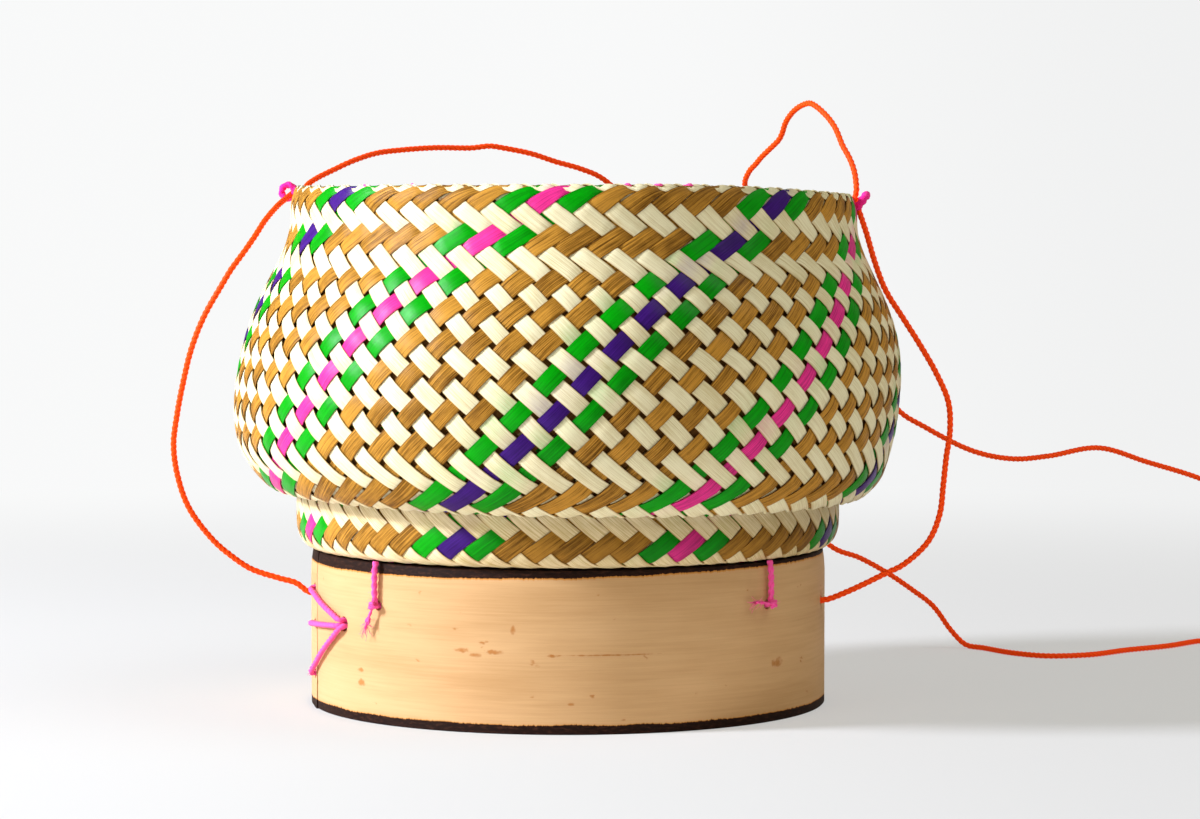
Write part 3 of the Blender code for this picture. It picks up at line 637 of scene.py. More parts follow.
def stalk_finish(chosen):
    """Make the finish of the foot: pale split stalk with dark ragged margins."""
    finish = Finish("split stalk", specular_ior_level=0.08)
    along, up = finish.uv()
    x, y, z = finish.place()
    grain = finish.noise((along * 42.0, up * 1500.0, 0.0), 4.0, 0.65)
    fine = finish.noise((along * 160.0, up * 7000.0, 3.0), 2.0, 0.7)
    cloud = finish.noise((along * 22.0, up * 110.0, 7.0))
    share = grain * 0.6 + fine * 0.2 + cloud * 0.9 - 0.40
    colour = finish.mix(share.between(0.0, 1.0), shade(chosen.stalk_pale), shade(chosen.stalk_deep))

    stain = finish.noise((along * 160.0, up * 260.0, 11.0), 3.0, 0.6).between(0.66, 0.76)
    blot = finish.noise((along * 700.0, up * 700.0, 9.0))
    for spot_x, spot_z, wide, tall in STAINS:
        away = ((x - spot_x) / wide) ** 2.0 + ((z - spot_z) / tall) ** 2.0 + blot * 1.6
        stain = stain + (1.0 - away.between(0.7, 1.7)) * (0.0 - y).between(0.0, 0.01)
    colour = finish.mix(stain.between(0.0, 1.3), colour, STAIN_BROWN)
    # Painted shadow in the step at the lap, beside the strip's outer end.
    seam_shadow = (1.0 - along.between(0.0001, 0.0006)) * z.between(0.027, 0.034)
    colour = finish.mix(seam_shadow * 0.7, colour, SEAM_SHADOW_BROWN)

    tooth = finish.noise((along * 900.0, 0.0, 1.0), 3.0, 0.8) - 0.5
    wave = finish.noise((along * 70.0, 0.0, 5.0), 1.0) - 0.5
    right = (x + 0.062).between(0.0, 0.126)
    teeth = tooth * MARGIN_TEETH
    depth = UPPER_MARGIN - right * UPPER_MARGIN_LOSS
    upper = (FOOT_HEIGHT - z) - depth - teeth - wave * UPPER_WAVES
    lower = z - LOWER_MARGIN - teeth - wave * LOWER_WAVES
    band = 1.0 - upper.between(-0.00008, 0.00008) * lower.between(-0.00008, 0.00008)
    scorch = 1.0 - upper.between(0.0001, 0.0006) * lower.between(0.0, 0.0004)
    colour = finish.mix(scorch * 0.85, colour, shade(chosen.stalk_scorch))
    rough = finish.noise((along * 500.0, up * 1600.0, 2.0), 4.0, 0.7)
    # Lighter specks on the dark margins: their scratches and a painted sheen.
    scratches_and_sheen = finish.mix(rough.between(0.45, 0.75), shade(chosen.margin), MARGIN_SCRATCHES_AND_SHEEN)
    colour = finish.mix(band, colour, scratches_and_sheen)
    relief = grain * (1.0 - band) * 0.35 + rough * band + band * 0.8
    finish.bump(relief, 0.00012, 0.8)
    return finish.set(base_color=colour, roughness=0.52 + rough * band * 0.2)


def yarn_finish(name, light, deep, gloss, sheen=0.0, plies=2, pitch=3.6, depth=0.35, painted_glow=0.0):
    """Make the finish of twisted yarn, with painted shade in the dips between its plies."""
    # painted_glow makes the yarn glow in its own colour, a painted light that brightens its shaded side.
    finish = Finish(
        name, specular_ior_level=0.10, sheen_weight=sheen, sheen_roughness=0.5, emission_strength=painted_glow)
    along, across = finish.uv()
    ply = (across - along * (plies / pitch)).fraction()
    dip_shade = 1.0 - ((ply - 0.5).size()).between(0.04, 0.26)
    hairs = finish.noise((along * 2.0, ply * 7.0, 0.0), 3.0, 0.7, 2.0)
    share = hairs * 0.9 - dip_shade * depth + 0.45
    colour = finish.mix(share.between(0.0, 0.8), shade(deep), shade(light))
    finish.bump(hairs, 0.00004, 0.9)
    return finish.set(base_color=colour, emission_color=colour, roughness=gloss + hairs * 0.2)


def length_of(name, description, default):
    """Return a length that the panel shows."""
    return bpy.props.FloatProperty(
        name=name, description=description, default=default, subtype="DISTANCE", unit="LENGTH")


def colour_of(name, description, default):
    """Return a colour that the panel shows."""
    return bpy.props.FloatVectorProperty(
        name=name, description=description, default=default, subtype="COLOR")


class BasketSettings(bpy.types.PropertyGroup):
    """Sizes and colours of the basket's looks."""

    strip_width: length_of("Strip width", "Width of a woven strip", 0.0042)
    strip_thickness: length_of("Strip thickness", "Thickness of a woven strip", 0.00030)
    weave_rise: length_of("Weave rise", "How far a strip rises and dips as it crosses others", 0.00032)
    tie_yarn: length_of("Tie yarn", "Thickness of the ties", 0.0016)
    lap_yarn: length_of("Lap yarn", "Thickness of the yarn that sews the lap", 0.0015)
    lacing_yarn: length_of("Lacing yarn", "Thickness of the yarn that sews in the mats", 0.0011)
    cord: length_of("Cord", "Thickness of the carrying cord", 0.0014)
    cream_pale: colour_of("Cream, pale", "Undyed strips", (0.865, 0.80, 0.525))
    cream_deep: colour_of("Cream, deep", "Streaks in undyed strips", (0.66, 0.555, 0.29))
    # The cup's undyed strips are the lid's cream made warmer and more tan: painted warm bounce light and
    # painted shade under the lid.
    cup_cream_shaded_pale: colour_of("Cup cream, pale", "Undyed strips of the cup", (0.92, 0.78, 0.48))
    cup_cream_shaded_deep: colour_of("Cup cream, deep", "Streaks in the cup's undyed strips", (0.56, 0.41, 0.16))
    brown_pale: colour_of("Brown, pale", "Tanned strips", (0.565, 0.272, 0.037))
    brown_deep: colour_of("Brown, deep", "Streaks in tanned strips", (0.115, 0.045, 0.005))
    # The strips' hidden backs are dark brown as painted shade, which shows in the gaps between the floats.
    back: colour_of("Strip back", "Hidden backs of the strips", (0.17, 0.072, 0.018))
    green: colour_of("Green", "Green dye", (0.0, 0.35, 0.002))
    pink: colour_of("Pink", "Pink dye", (0.90, 0.038, 0.29))
    purple: colour_of("Purple", "Purple dye", (0.055, 0.009, 0.195))
    stalk_pale: colour_of("Stalk, pale", "Face of the foot ring", (0.68, 0.425, 0.205))
    stalk_deep: colour_of("Stalk, deep", "Grain of the foot ring", (0.50, 0.285, 0.115))
    stalk_scorch: colour_of("Stalk, edge", "Line beside the dark margins", (0.58, 0.21, 0.022))
    margin: colour_of("Margin", "Dark margins of the stalk", (0.013, 0.0045, 0.0025))
    yarn: colour_of("Yarn", "Pink yarn", (1.0, 0.10, 0.38))
    yarn_deep: colour_of("Yarn, deep", "Shade within the pink yarn", (0.95, 0.035, 0.23))
    loop_yarn: colour_of("Loop yarn", "Pink yarn of the cord loops", (1.0, 0.02, 0.30))
    orange: colour_of("Cord, pale", "Orange cord", (1.0, 0.075, 0.003))
    orange_deep: colour_of("Cord, deep", "Shade within the orange cord", (0.75, 0.016, 0.001))


def settings_of(context):
    """Return the basket's settings."""
    return context.scene.rice_basket


def finishes(context):
    """Return the finishes by name, which are made when they are first asked for."""
    made = bpy.data.materials
    if "cream strip" not in made:
        chosen = settings_of(context)
        straw_finish("cream strip", chosen.cream_pale, chosen.cream_deep, 0.26, dye=True)
        # The cup's cream is a shaded copy of the cream, with painted bounce light and shade.
        straw_finish(
            "cup cream strip", chosen.cup_cream_shaded_pale, chosen.cup_cream_shaded_deep, 0.30, dye=True, lid_shadow_share=0.85)
        straw_finish("brown strip", chosen.brown_pale, chosen.brown_deep, 0.25, specular=0.06)
        for name in ("green", "pink", "purple"):
            dyed = getattr(chosen, name)
            straw_finish(name + " strip", dyed, shade(dyed, 0.5), 0.24)
        # The strips' backs carry painted shade for the gaps between the floats.
        straw_finish("strip back", chosen.back, shade(chosen.back, 0.5), 0.7, specular=0.0)
        stalk_finish(chosen)
        yarn_finish("pink yarn", chosen.yarn, chosen.yarn_deep, 0.65, sheen=0.12)
        yarn_finish("loop yarn", chosen.loop_yarn, chosen.yarn_deep, 0.65, sheen=0.15)
        # The orange cord has a painted glow.
        yarn_finish(
            "orange cord", chosen.orange, chosen.orange_deep, 0.42, plies=3, pitch=4.2, depth=0.6, painted_glow=0.17)
    return made


def new_shape():
    """Start a piece's shape, with a layer for its measure along and across."""
    shape = bmesh.new()
    return shape, shape.loops.layers.uv.new("UVMap")


def add_sheet(shape, layer, points, along, across, finish=0, back=None):
    """Add a grid whose points, and whose measure along and across, are given row by row.

    A strip's back, which is its band BACK_BAND, can have a finish of its own.
    """
    rows, columns = len(across), len(along)
    made = bmesh.ops.create_grid(shape, x_segments=columns - 1, y_segments=rows - 1, size=1.0)
    measure, bands = {}, {}
    for number, vert in enumerate(made["verts"]):
        row, column = divmod(number, columns)
        bands[vert] = row
        vert.co = points[column][row]
        measure[vert] = (along[column], across[row])
    faces = {face for vert in made["verts"] for face in vert.link_faces}
    for face in faces:
        behind = back is not None and min(bands[vert] for vert in face.verts) == BACK_BAND
        face.material_index = back if behind else finish
        for loop in face.loops:
            loop[layer].uv = measure[loop.vert]
    return made["verts"]


def close_up(shape):
    """Close the seams and ends of tubes, and turn their faces outwards."""
    bmesh.ops.remove_doubles(shape, verts=shape.verts, dist=0.0000001)
    bmesh.ops.holes_fill(shape, edges=[e for e in shape.edges if e.is_boundary], sides=0)
    bmesh.ops.recalc_face_normals(shape, faces=shape.faces)


def finished_piece(name, shape, materials, body, sharp=None, replaces=()):
    """Make a piece of a shape, give it its finishes and let it ride on a body."""
    mesh = bpy.data.meshes.new(name)
    shape.to_mesh(mesh)
    shape.free()
    mesh.shade_smooth()
    if sharp:
        mesh.set_sharp_from_angle(angle=radians(sharp))
    piece = bpy.data.objects.new(name, mesh)
    bpy.context.scene.collection.objects.link(piece)
    for material in materials:
        mesh.materials.append(material)
    if body:
        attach(piece, body)
    if replaces:
        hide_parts(*replaces)
    return piece


class Wall:
    """A double wall's closed middle line, measured from its upper fold down its outside."""

    def __init__(self, outline, rows, fold_row):
        outline = np.array(outline)
        run = np.gradient(outline, axis=0)
        run /= np.linalg.norm(run, axis=1)[:, None]
        inward = np.stack([run[:, 1], -run[:, 0]], axis=1)
        outer = outline + inward * LAYER_DEPTH
        inner = outline + inward * (WALL - LAYER_DEPTH)
        bend = WALL / 2 - LAYER_DEPTH
        upper = self.fold(outline[0] + inward[0] * WALL / 2, -inward[0], -run[0], bend)
        lower = self.fold(outline[-1] + inward[-1] * WALL / 2, -inward[-1], run[-1], bend)
        loop = [*upper[:len(upper) // 2 + 1][::-1], *outer, *lower, *inner[::-1], *upper[::-1]]
        loop = np.array(loop[:len(loop) - len(upper) // 2])
        lengths = np.concatenate([[0.0], np.cumsum(np.linalg.norm(np.diff(loop, axis=0), axis=1))])
        count = round(lengths[-1] / SAMPLE)
        self.lengths = np.arange(count) * lengths[-1] / count
        self.period = lengths[-1]
        radius, height = (np.interp(self.lengths, lengths, loop[:, i]) for i in (0, 1))
        self.radius, self.height = radius, height
        along = np.stack([np.roll(c, -2) - np.roll(c, 2) for c in (radius, height)])
        along /= np.linalg.norm(along, axis=0)
        self.out_radius, self.out_height = -along[1], along[0]
        outside = len(upper) // 2 + 1 + len(outer)
        self.knots = []
        for row, level in rows:
            place = np.interp(-level, -loop[:outside, 1], lengths[:outside])
            self.knots.append((row, float(place)))
        turn = float(lengths[outside + len(lower) // 2])
        self.knots.append((fold_row, turn))
        self.last_row = fold_row + (self.period - turn - END_ROOM) / INSIDE_ROW
        self.knots.append((self.last_row, self.period - END_ROOM))

    @staticmethod
    def fold(middle, outward, beyond, bend):
        """Return half a turn round a middle, from the outward side to the other."""
        turns = np.linspace(0.0, pi, 17)
        return [middle + bend * (cos(turn) * outward + sin(turn) * beyond) for turn in turns]

    def at(self, lengths):
        """Return the line's radius, height and outward direction at some lengths."""
        lines = (self.radius, self.height, self.out_radius, self.out_height)
        return [np.interp(lengths, self.lengths, line, period=self.period) for line in lines]


def bezier(start, pull_start, pull_end, end, steps):
    """Return the points of a cubic curve in the (radius, height) plane, with both ends."""
    t = np.linspace(0.0, 1.0, steps + 1)[:, None]
    start, pull_start, pull_end, end = (np.array(p) for p in (start, pull_start, pull_end, end))
    ends = (1 - t) ** 3 * start + 3 * t * (1 - t) ** 2 * pull_start
    return ends + 3 * t * t * (1 - t) * pull_end + t ** 3 * end


def cup_outline():
    """Return the cup's outer line, from below the mouth's fold to the fold under the floor."""
    corner = (CUP_RADIUS, CUP_BASE + CUP_CORNER)
    tip = (CUP_RADIUS - CUP_LEDGE, CUP_BASE)
    pull_down = (CUP_RADIUS, CUP_BASE + 0.4 * CUP_CORNER)
    pull_in = (CUP_RADIUS - 0.4 * CUP_LEDGE, CUP_BASE)
    straight = np.linspace((CUP_RADIUS, CUP_MOUTH - WALL / 2), corner, 80)
    return [*straight, *bezier(corner, pull_down, pull_in, tip, 24)[1:]]


def lid_outline():
    """Return the lid's outer line: a straight neck, out to the belly and in to the mouth."""
    neck_end = (LID_NECK, LID_RIM - LID_NECK_LENGTH)
    belly_radius = LID_NECK + LID_BELLY_SWELL
    belly = (belly_radius, LID_RIM - LID_BELLY_DROP)
    rise = neck_end[1] - belly[1]
    mouth = (LID_NECK + LID_MOUTH_SWELL, LID_RIM - LID_DEPTH)
    drop = belly[1] - mouth[1]
    # The curves' ends are pulled by shares of the swell, the rise and the drop.
    swell_start = (LID_NECK + 0.11 * LID_BELLY_SWELL, neck_end[1] - 0.29 * rise)
    swell_end = (belly_radius, belly[1] + 0.53 * rise)
    turn_start = (belly_radius, belly[1] - 0.46 * drop)
    turn_end = (mouth[0] + 0.70 * (belly_radius - mouth[0]), mouth[1] + 0.18 * drop)
    shares = np.linspace(1.0, 0.0, 13)
    depths = LID_RIM_DRAW_HEIGHT + shares * (WALL / 2 - LID_RIM_DRAW_HEIGHT)
    rim = np.stack([LID_NECK - LID_RIM_DRAW * shares ** 1.5, LID_RIM - depths], axis=1)
    swelling = bezier(neck_end, swell_start, swell_end, belly, 40)
    turning = bezier(belly, turn_start, turn_end, mouth, 24)
    return [*rim, *swelling, *turning[1:]]


def dye_of(strip, trios):
    """Return the dye of a coloured strip, by its place among the dyed trios."""
    strip %= STRIPS
    if strip in trios:
        return trios[strip]
    if (strip - 1) % STRIPS in trios or (strip + 1) % STRIPS in trios:
        return "green"
    return "brown"


def crossed(low_side, high_side, share):
    """Return how a strip lies on its smooth way from one side to the other."""
    share = 0.5 - 0.5 * np.cos(pi * share)
    return low_side * (1.0 - share) + high_side * share


def floating(floats, rows):
    """Return how the coloured strips lie at some rows: 1 on top, -1 beneath, smooth between."""
    signs = np.array([1.0 if letter == "k" else -1.0 for letter in floats])
    places = np.clip(rows - FIRST_ROW, 0.0, len(signs) - 1.001)
    low = np.floor(places).astype(int)
    lie = crossed(signs[low], signs[low + 1], places - low)
    return lie * (1.5 - 0.5 * lie ** 2)


def flatness(rows, middle, amount, spread):
    """Return how much flatter strips lie at some rows, around a middle row."""
    return amount * np.exp(-((rows - middle) / spread) ** 2)


def strip_section(width, thick):
    """Return a strip's closed section as two lists: places across it and heights."""
    half = thick / 2
    shoulder = half - thick * STRIP_CROWN
    return np.array(STRIP_ACROSS) * width, np.array([shoulder, half, half, shoulder, -half, -half, shoulder])


def weave_wall(context, wall, weave, coloured):
    """Weave one set of a double wall's strips, the coloured ones or the cream ones."""
    chosen = settings_of(context)
    chance = random.Random(weave.seed if coloured else weave.seed + 1)
    shape, layer = new_shape()
    stain = None if coloured else shape.verts.layers.float_color.new("stain")
    rows = np.linspace(START_ROW, wall.last_row, round((wall.last_row - START_ROW) * SAMPLES_PER_ROW))
    lengths = eased(wall.knots, rows)
    radius = wall.at(lengths)[0]
    way = -1.0 if coloured else 1.0
    angle = weave.turn + way * rows * HALF_PITCH + eased(weave.twist, rows)
    down = np.gradient(lengths)
    round_way = np.gradient(np.radians(angle)) * radius
    reach = np.hypot(down, round_way)
    down, round_way = down / reach, round_way / reach
    descent = np.gradient(lengths, rows)
    slope = np.abs(descent) / np.hypot(descent, radians(HALF_PITCH) * radius)
    room = STRIP_ROOM * radians(2 * HALF_PITCH) * radius * slope
    lie = floating(weave.floats, rows) * -way * chosen.weave_rise
    lie = lie * (
        1.0 - flatness(rows, weave.fold_row, *FOLD_FLATNESS) - flatness(rows, CREST_ROW, *CREST_FLATNESS))
    steps = np.hypot(np.diff(lengths), radius[1:] * np.diff(np.radians(angle)))
    travelled = np.concatenate([[0.0], np.cumsum(steps)])
    usual = chosen.strip_width * np.interp(rows, *zip(*weave.widths[0 if coloured else 1]))
    across, lift = strip_section(1.0, chosen.strip_thickness)
    for strip in range(STRIPS):
        wide = np.minimum(usual * chance.uniform(*STRIP_RANGE), room)
        drift = chance.uniform(-DRIFT, DRIFT) + DRIFT * np.sin(rows * 0.5 + chance.uniform(0.0, 6.3))
        aside = across[None, :] * wide[:, None] + drift[:, None]
        spot_length = lengths[:, None] - aside * round_way[:, None]
        spot_angle = np.radians(angle + strip * 2 * HALF_PITCH - 90.0)[:, None]
        spot_angle = spot_angle + aside * down[:, None] / wall.at(spot_length)[0]
        beside = (np.degrees(spot_angle) + 270.0) % 360.0 - 180.0
        free = ramp(spot_length, *SLIDE_REACH)
        spot_angle = spot_angle + np.radians(slip(weave.turns, spot_length, beside))
        spot_length = spot_length + 0.001 * free * slip(weave.slides, spot_length, beside)
        spot_radius, spot_height, out_radius, out_height = wall.at(spot_length)
        height = lie[:, None] + lift[None, :]
        spot_radius = spot_radius + out_radius * height
        spot_height = spot_height + out_height * height
        points = np.stack(
            [spot_radius * np.cos(spot_angle), spot_radius * np.sin(spot_angle), spot_height], axis=2)
        points = shifted(points, weave.lean, weave.tilted)
        dye = STRIP_DYES.index(dye_of(strip, weave.trios)) if coloured else 0
        back = len(STRIP_DYES) if coloured else 1
        measure = strip + 0.01 + STRIP_MEASURE
        verts = add_sheet(shape, layer, points, travelled * 1000.0, measure, dye, back)
        if not coloured:
            paint_stains(chosen, verts, stain, rows, strip, weave, chance)
    close_up(shape)
    return shape


def paint_stains(chosen, verts, stain, rows, strip, weave, chance):
    """Let dye from the coloured strips that cross a cream strip tint it."""
    tints = []
    strengths = {}
    for row in rows:
        crossing = row + strip
        first = int(np.floor(crossing))
        colour, strength = (1.0, 1.0, 1.0), 0.0
        for near in range(first, first + 3):
            dye = dye_of(near, weave.trios)
            if dye == "brown":
                continue
            if near not in strengths:
                strengths[near] = chance.choice(weave.bleeds)
            here = strengths[near] * min(max(1.0 - abs(near - crossing - 0.5) / 0.95, 0.0), 1.0)
            if here > strength:
                colour, strength = tuple(0.10 + 0.80 * c ** 0.6 for c in getattr(chosen, dye)), here
        tints.append((*colour, strength))
    for number, vert in enumerate(verts):
        vert[stain] = tints[number % len(rows)]


def make_wall(context, weave, outline):
    """Make a double wall's coloured strips and its cream strips."""
    made = finishes(context)
    wall = Wall(outline, weave.rows, weave.fold_row)
    dyed = [made[dye + " strip"] for dye in STRIP_DYES]
    for way, fronts, replaces in (("coloured", dyed, (weave.node,)), ("cream", [made[weave.cream]], ())):
        shape = weave_wall(context, wall, weave, way == "coloured")
        name = f"{weave.name}_{way}_strips"
        finished_piece(name, shape, [*fronts, made["strip back"]], weave.body, SHARP, replaces)


def dye_in_mat(strip):
    """Return the dye of a mat's coloured strip. Every other trio has a pink middle."""
    place = strip % DISC_TRIO
    if place == 0:
        return "purple" if strip % (2 * DISC_TRIO) else "pink"
    return "green" if place in (1, DISC_TRIO - 1) else "brown"


def weave_disc(context, name, weave, node, radius, middle, seed):
    """Weave a round mat of straight strips that cross at right angles, to lie within a woven wall."""
    chosen = settings_of(context)
    chance = random.Random(seed)
    made = finishes(context)
    shape, layer = new_shape()
    stain = shape.verts.layers.float_color.new("stain")
    count = int(radius / DISC_PITCH)
    turn = radians(DISC_TURN)
    for way in (0, 1):
        for strip in range(-count, count + 1):
            offset = strip * DISC_PITCH
            half_run = radius ** 2 - (abs(offset) + chosen.strip_width / 2) ** 2
            if half_run < DISC_SHORTEST ** 2:
                continue
            half_run = half_run ** 0.5
            places = np.linspace(-half_run, half_run, max(4, round(half_run * 2 / DISC_PITCH * 4)))
            crossing = places / DISC_PITCH
            low = np.floor(crossing)
            first = np.where((low + strip) % 2 == way, 1.0, -1.0)
            lie = crossed(first, -first, crossing - low) * chosen.weave_rise
            width = chosen.strip_width * chance.uniform(*DISC_RANGE)
            across, lift = strip_section(width, chosen.strip_thickness)
            aside = offset + across
            x = places[:, None] + 0.0 * aside[None, :]
            y = aside[None, :] + 0.0 * places[:, None]
            if way:
                x, y = y, x
            spots = np.stack([
                x * cos(turn) - y * sin(turn), x * sin(turn) + y * cos(turn),
                middle + lie[:, None] + lift[None, :],
            ], axis=2)
            dye = 0 if way else 1 + STRIP_DYES.index(dye_in_mat(strip))
            measure = strip + 400 * way + 0.01 + STRIP_MEASURE
            add_sheet(shape, layer, shifted(spots, weave.lean), places * 1000.0 + 50.0 * strip, measure, dye)
    close_up(shape)
    for vert in shape.verts:
        vert[stain] = (1.0, 1.0, 1.0, 0.0)
    materials = [made["cream strip"]] + [made[dye + " strip"] for dye in STRIP_DYES]
    finished_piece(name, shape, materials, weave.body, SHARP, (node,))


def add_rope(shape, layer, points, diameter, plies, lay, sides=12, step=0.00042):
    """Lay a twisted rope along points, and return the ring centres that it follows."""
    pitch, lobes = lay
    centres = evenly(points, step)
    tangents = [(b - a).normalized() for a, b in zip(centres, centres[1:])]
    between = [(a + b).normalized() for a, b in zip(tangents, tangents[1:])]
    tangents = [tangents[0], *between, tangents[-1]]
    side = tangents[0].orthogonal().normalized()
    rings, along, travelled = [], [], 0.0
    for number, (centre, tangent) in enumerate(zip(centres, tangents)):
        side = (side - tangent * side.dot(tangent)).normalized()
        other = tangent.cross(side)
        if number:
            travelled += (centre - centres[number - 1]).length
        ring = []
        for corner in range(sides + 1):
            turn = 2 * pi * (corner % sides) / sides
            swell = 1.0 - lobes + lobes * cos(plies * (turn - 2 * pi * travelled / pitch))
            reach = diameter / 2 * swell
            ring.append(centre + (side * cos(turn) + other * sin(turn)) * reach)
        rings.append(ring)
        along.append(travelled * 1000.0)
    across = [plies * corner / sides for corner in range(sides + 1)]
    add_sheet(shape, layer, rings, along, across)
    return centres


def add_hairs(shape, layer, places, size, chance):
    """Add fine fibres that stand off a yarn and droop: each place has a point and a direction."""
    length, thick = size
    for point, direction in places:
        aim = Vector([d + chance.gauss(0.0, 0.45) for d in direction]).normalized()
        bend = Vector([chance.gauss(0.0, 0.35) for _ in range(3)]) - UP * 0.3
        reach = length * chance.uniform(0.5, 1.2)
        middle = point + aim * reach * 0.5
        tip = middle + (aim + bend).normalized() * reach * 0.5
        add_rope(shape, layer, [point, middle, tip], thick, 1, (1.0, 0.0), 3, reach / 3)


class BASKET_OT_stage(bpy.types.Operator):
    """Set the camera, the pale floor and the soft studio light"""

    bl_idname = "basket.stage"
    bl_label = "Stage"

    def execute(self, context):
        scene = context.scene
        scene.view_settings.view_transform = "Standard"
        lens = bpy.data.cameras.new("view from the front")
        lens.sensor_width = SENSOR_WIDTH
        lens.lens = CAMERA_LENS / PICTURE_WIDTH * SENSOR_WIDTH
        lens.clip_start = 0.01
        camera = bpy.data.objects.new("view from the front", lens)
        camera.location = CAMERA_PLACE
        camera.rotation_euler = (radians(90.0 - CAMERA_DIP), 0.0, 0.0)
        scene.collection.objects.link(camera)
        scene.camera = camera

        self.add_paper(scene, "floor", FLOOR_SIZE)
        self.add_paper(scene, "backdrop", BACKDROP_SIZE, BACKDROP_PLACE)
        for lamp in LAMPS:
            self.add_lamp(scene, *lamp)
        self.light_world(scene)
        return {"FINISHED"}

    def add_paper(self, scene, name, size, behind=0.0):
        """Lay a square of paper flat, or stand it up some way behind the basket."""
        shape = bmesh.new()
        grid = bmesh.ops.create_grid(shape, x_segments=8, y_segments=8, size=size)
        if behind:
            bmesh.ops.rotate(shape, verts=grid["verts"], matrix=Matrix.Rotation(pi / 2, 3, "X"))
            bmesh.ops.translate(shape, verts=grid["verts"], vec=(0.0, behind, size))
        mesh = bpy.data.meshes.new(name)
        shape.to_mesh(mesh)
        shape.free()
        sheet = bpy.data.objects.new(name, mesh)
        scene.collection.objects.link(sheet)
        mesh.materials.append(self.paper_finish(name))

    def paper_finish(self, name):
        """Make white paper with painted shade: a little darker to the right and towards the front.

        Near the basket the floor takes its shadow. Far from it both sheets show as plain paper.
        """
        finish = Finish(name, roughness=0.9, specular_ior_level=0.0)
        x, y, _ = finish.place()
        right = x / (y + PAPER_APEX)
        front = 1.0 - (y + 0.14).between(0.0, 0.45)
        # Painted shade on the paper, darker to the right and towards the front.
        dark = right.between(-0.01, 0.17) * 0.075 + front * right.between(-0.12, 0.03) * 0.055
        paper = finish.node("Emission", {}, {"Color": (*PAPER_SHOWN, 1.0), "Strength": 1.0 - dark})
        seen = finish.node("LightPath", {}, (), output="Is Camera Ray")
        finish.set(base_color=finish.mix(seen, PAPER_LIT, FLOOR_LIT))
        if name == "floor":
            near = Value(finish, finish.shader.outputs[0])
            away = (x * x + y * y) ** 0.5
            seen = (away.between(0.20, 0.70) * 0.57 + 0.43) * seen
        else:
            near = finish.node("BsdfTransparent")
        mixed = finish.node("MixShader", {}, (seen, near, paper))
        finish.feed(finish.tree.nodes["Material Output"].inputs["Surface"], mixed)
        return finish.material

    def add_lamp(self, scene, name, place, size, power, colour):
        """Hang a round lamp that aims at the basket."""
        lamp = bpy.data.lights.new(name, "AREA")
        lamp.shape = "DISK"
        lamp.size = size
        lamp.energy = power
        lamp.color = colour
        holder = bpy.data.objects.new(name, lamp)
        holder.location = place
        holder.rotation_euler = (LAMP_AIM - Vector(place)).to_track_quat("-Z", "Y").to_euler()
        scene.collection.objects.link(holder)

    def light_world(self, scene):
        """Light the basket softly from all sides, and show the surroundings as plain paper."""
        world = bpy.data.worlds.new("studio")
        scene.world = world
        world.use_nodes = True
        tree = world.node_tree
        tree.nodes.clear()
        path = tree.nodes.new("ShaderNodeLightPath")
        output = tree.nodes.new("ShaderNodeOutputWorld")
        mixed = tree.nodes.new("ShaderNodeMixShader")
        for number, (colour, strength) in enumerate((WORLD_LIGHT, WORLD_SHOWN)):
            background = tree.nodes.new("ShaderNodeBackground")
            background.inputs["Color"].default_value = (*colour, 1.0)
            background.inputs["Strength"].default_value = strength
            tree.links.new(background.outputs[0], mixed.inputs[number + 1])
        tree.links.new(path.outputs["Is Camera Ray"], mixed.inputs[0])
        tree.links.new(mixed.outputs[0], output.inputs["Surface"])


class BASKET_OT_cord(bpy.types.Operator):
    """Make the twisted carrying cord and the knots that hold its ends"""

    bl_idname = "basket.cord"
    bl_label = "Carrying cord"

    def execute(self, context):
        chosen = settings_of(context)
        material = finishes(context)["orange cord"]
        left, right = (around(FOOT_RADIUS + GAP + chosen.cord / 2, *CORD_HOLES[side]) for side in CORD_HOLES)
        route = [around(LAP_INSIDE, *CORD_HOLES["left"]), left]
        route += [Vector(point) * 0.001 for point in CORD_ROUTE]
        route += [right, around(FOOT_INSIDE, *CORD_HOLES["right"])]
        smooth = through_points(route, 14)
        for point in smooth:
            point.z = max(point.z, chosen.cord / 2)
        shape, layer = new_shape()
        centres = add_rope(shape, layer, smooth, chosen.cord * CORD_SWELL, 3, CORD_LAY)
        close_up(shape)
        cord = finished_piece(
            "twisted_cord", shape, [material], None, replaces=("carry_cord",))
        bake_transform(cord)
        knots = [self.make_knot(side, chosen, material) for side in CORD_HOLES]
        return {"FINISHED"}

    def make_knot(self, side, chosen, material):
        """Wind the cord's end round itself inside the foot ring."""
        angle, height = CORD_HOLES[side]
        face = LAP_INSIDE if side == "left" else FOOT_INSIDE
        outward = around(1.0, angle, 0.0)
        sideways = Vector((-outward.y, outward.x, 0.0))
        middle = outward * (face - GAP - CORD_KNOT / 2) + UP * height
        reach = (CORD_KNOT - chosen.cord) / 2
        points = []
        for step in range(KNOT_STEPS + 1):
            turn = 2 * pi * KNOT_TURNS * step / KNOT_STEPS
            deep = outward * (KNOT_DEPTH / 2 - KNOT_DEPTH * step / KNOT_STEPS)
            points.append(middle + deep + (sideways * cos(turn) + UP * sin(turn)) * reach)
        points.append(points[-1] - UP * KNOT_END - outward * 0.0012)
        shape, layer = new_shape()
        add_rope(shape, layer, points, chosen.cord, 3, KNOT_LAY)
        close_up(shape)
        node = f"cord_knot_{side}"
        return finished_piece(node + "_wound", shape, [material], "basket", replaces=(node,))


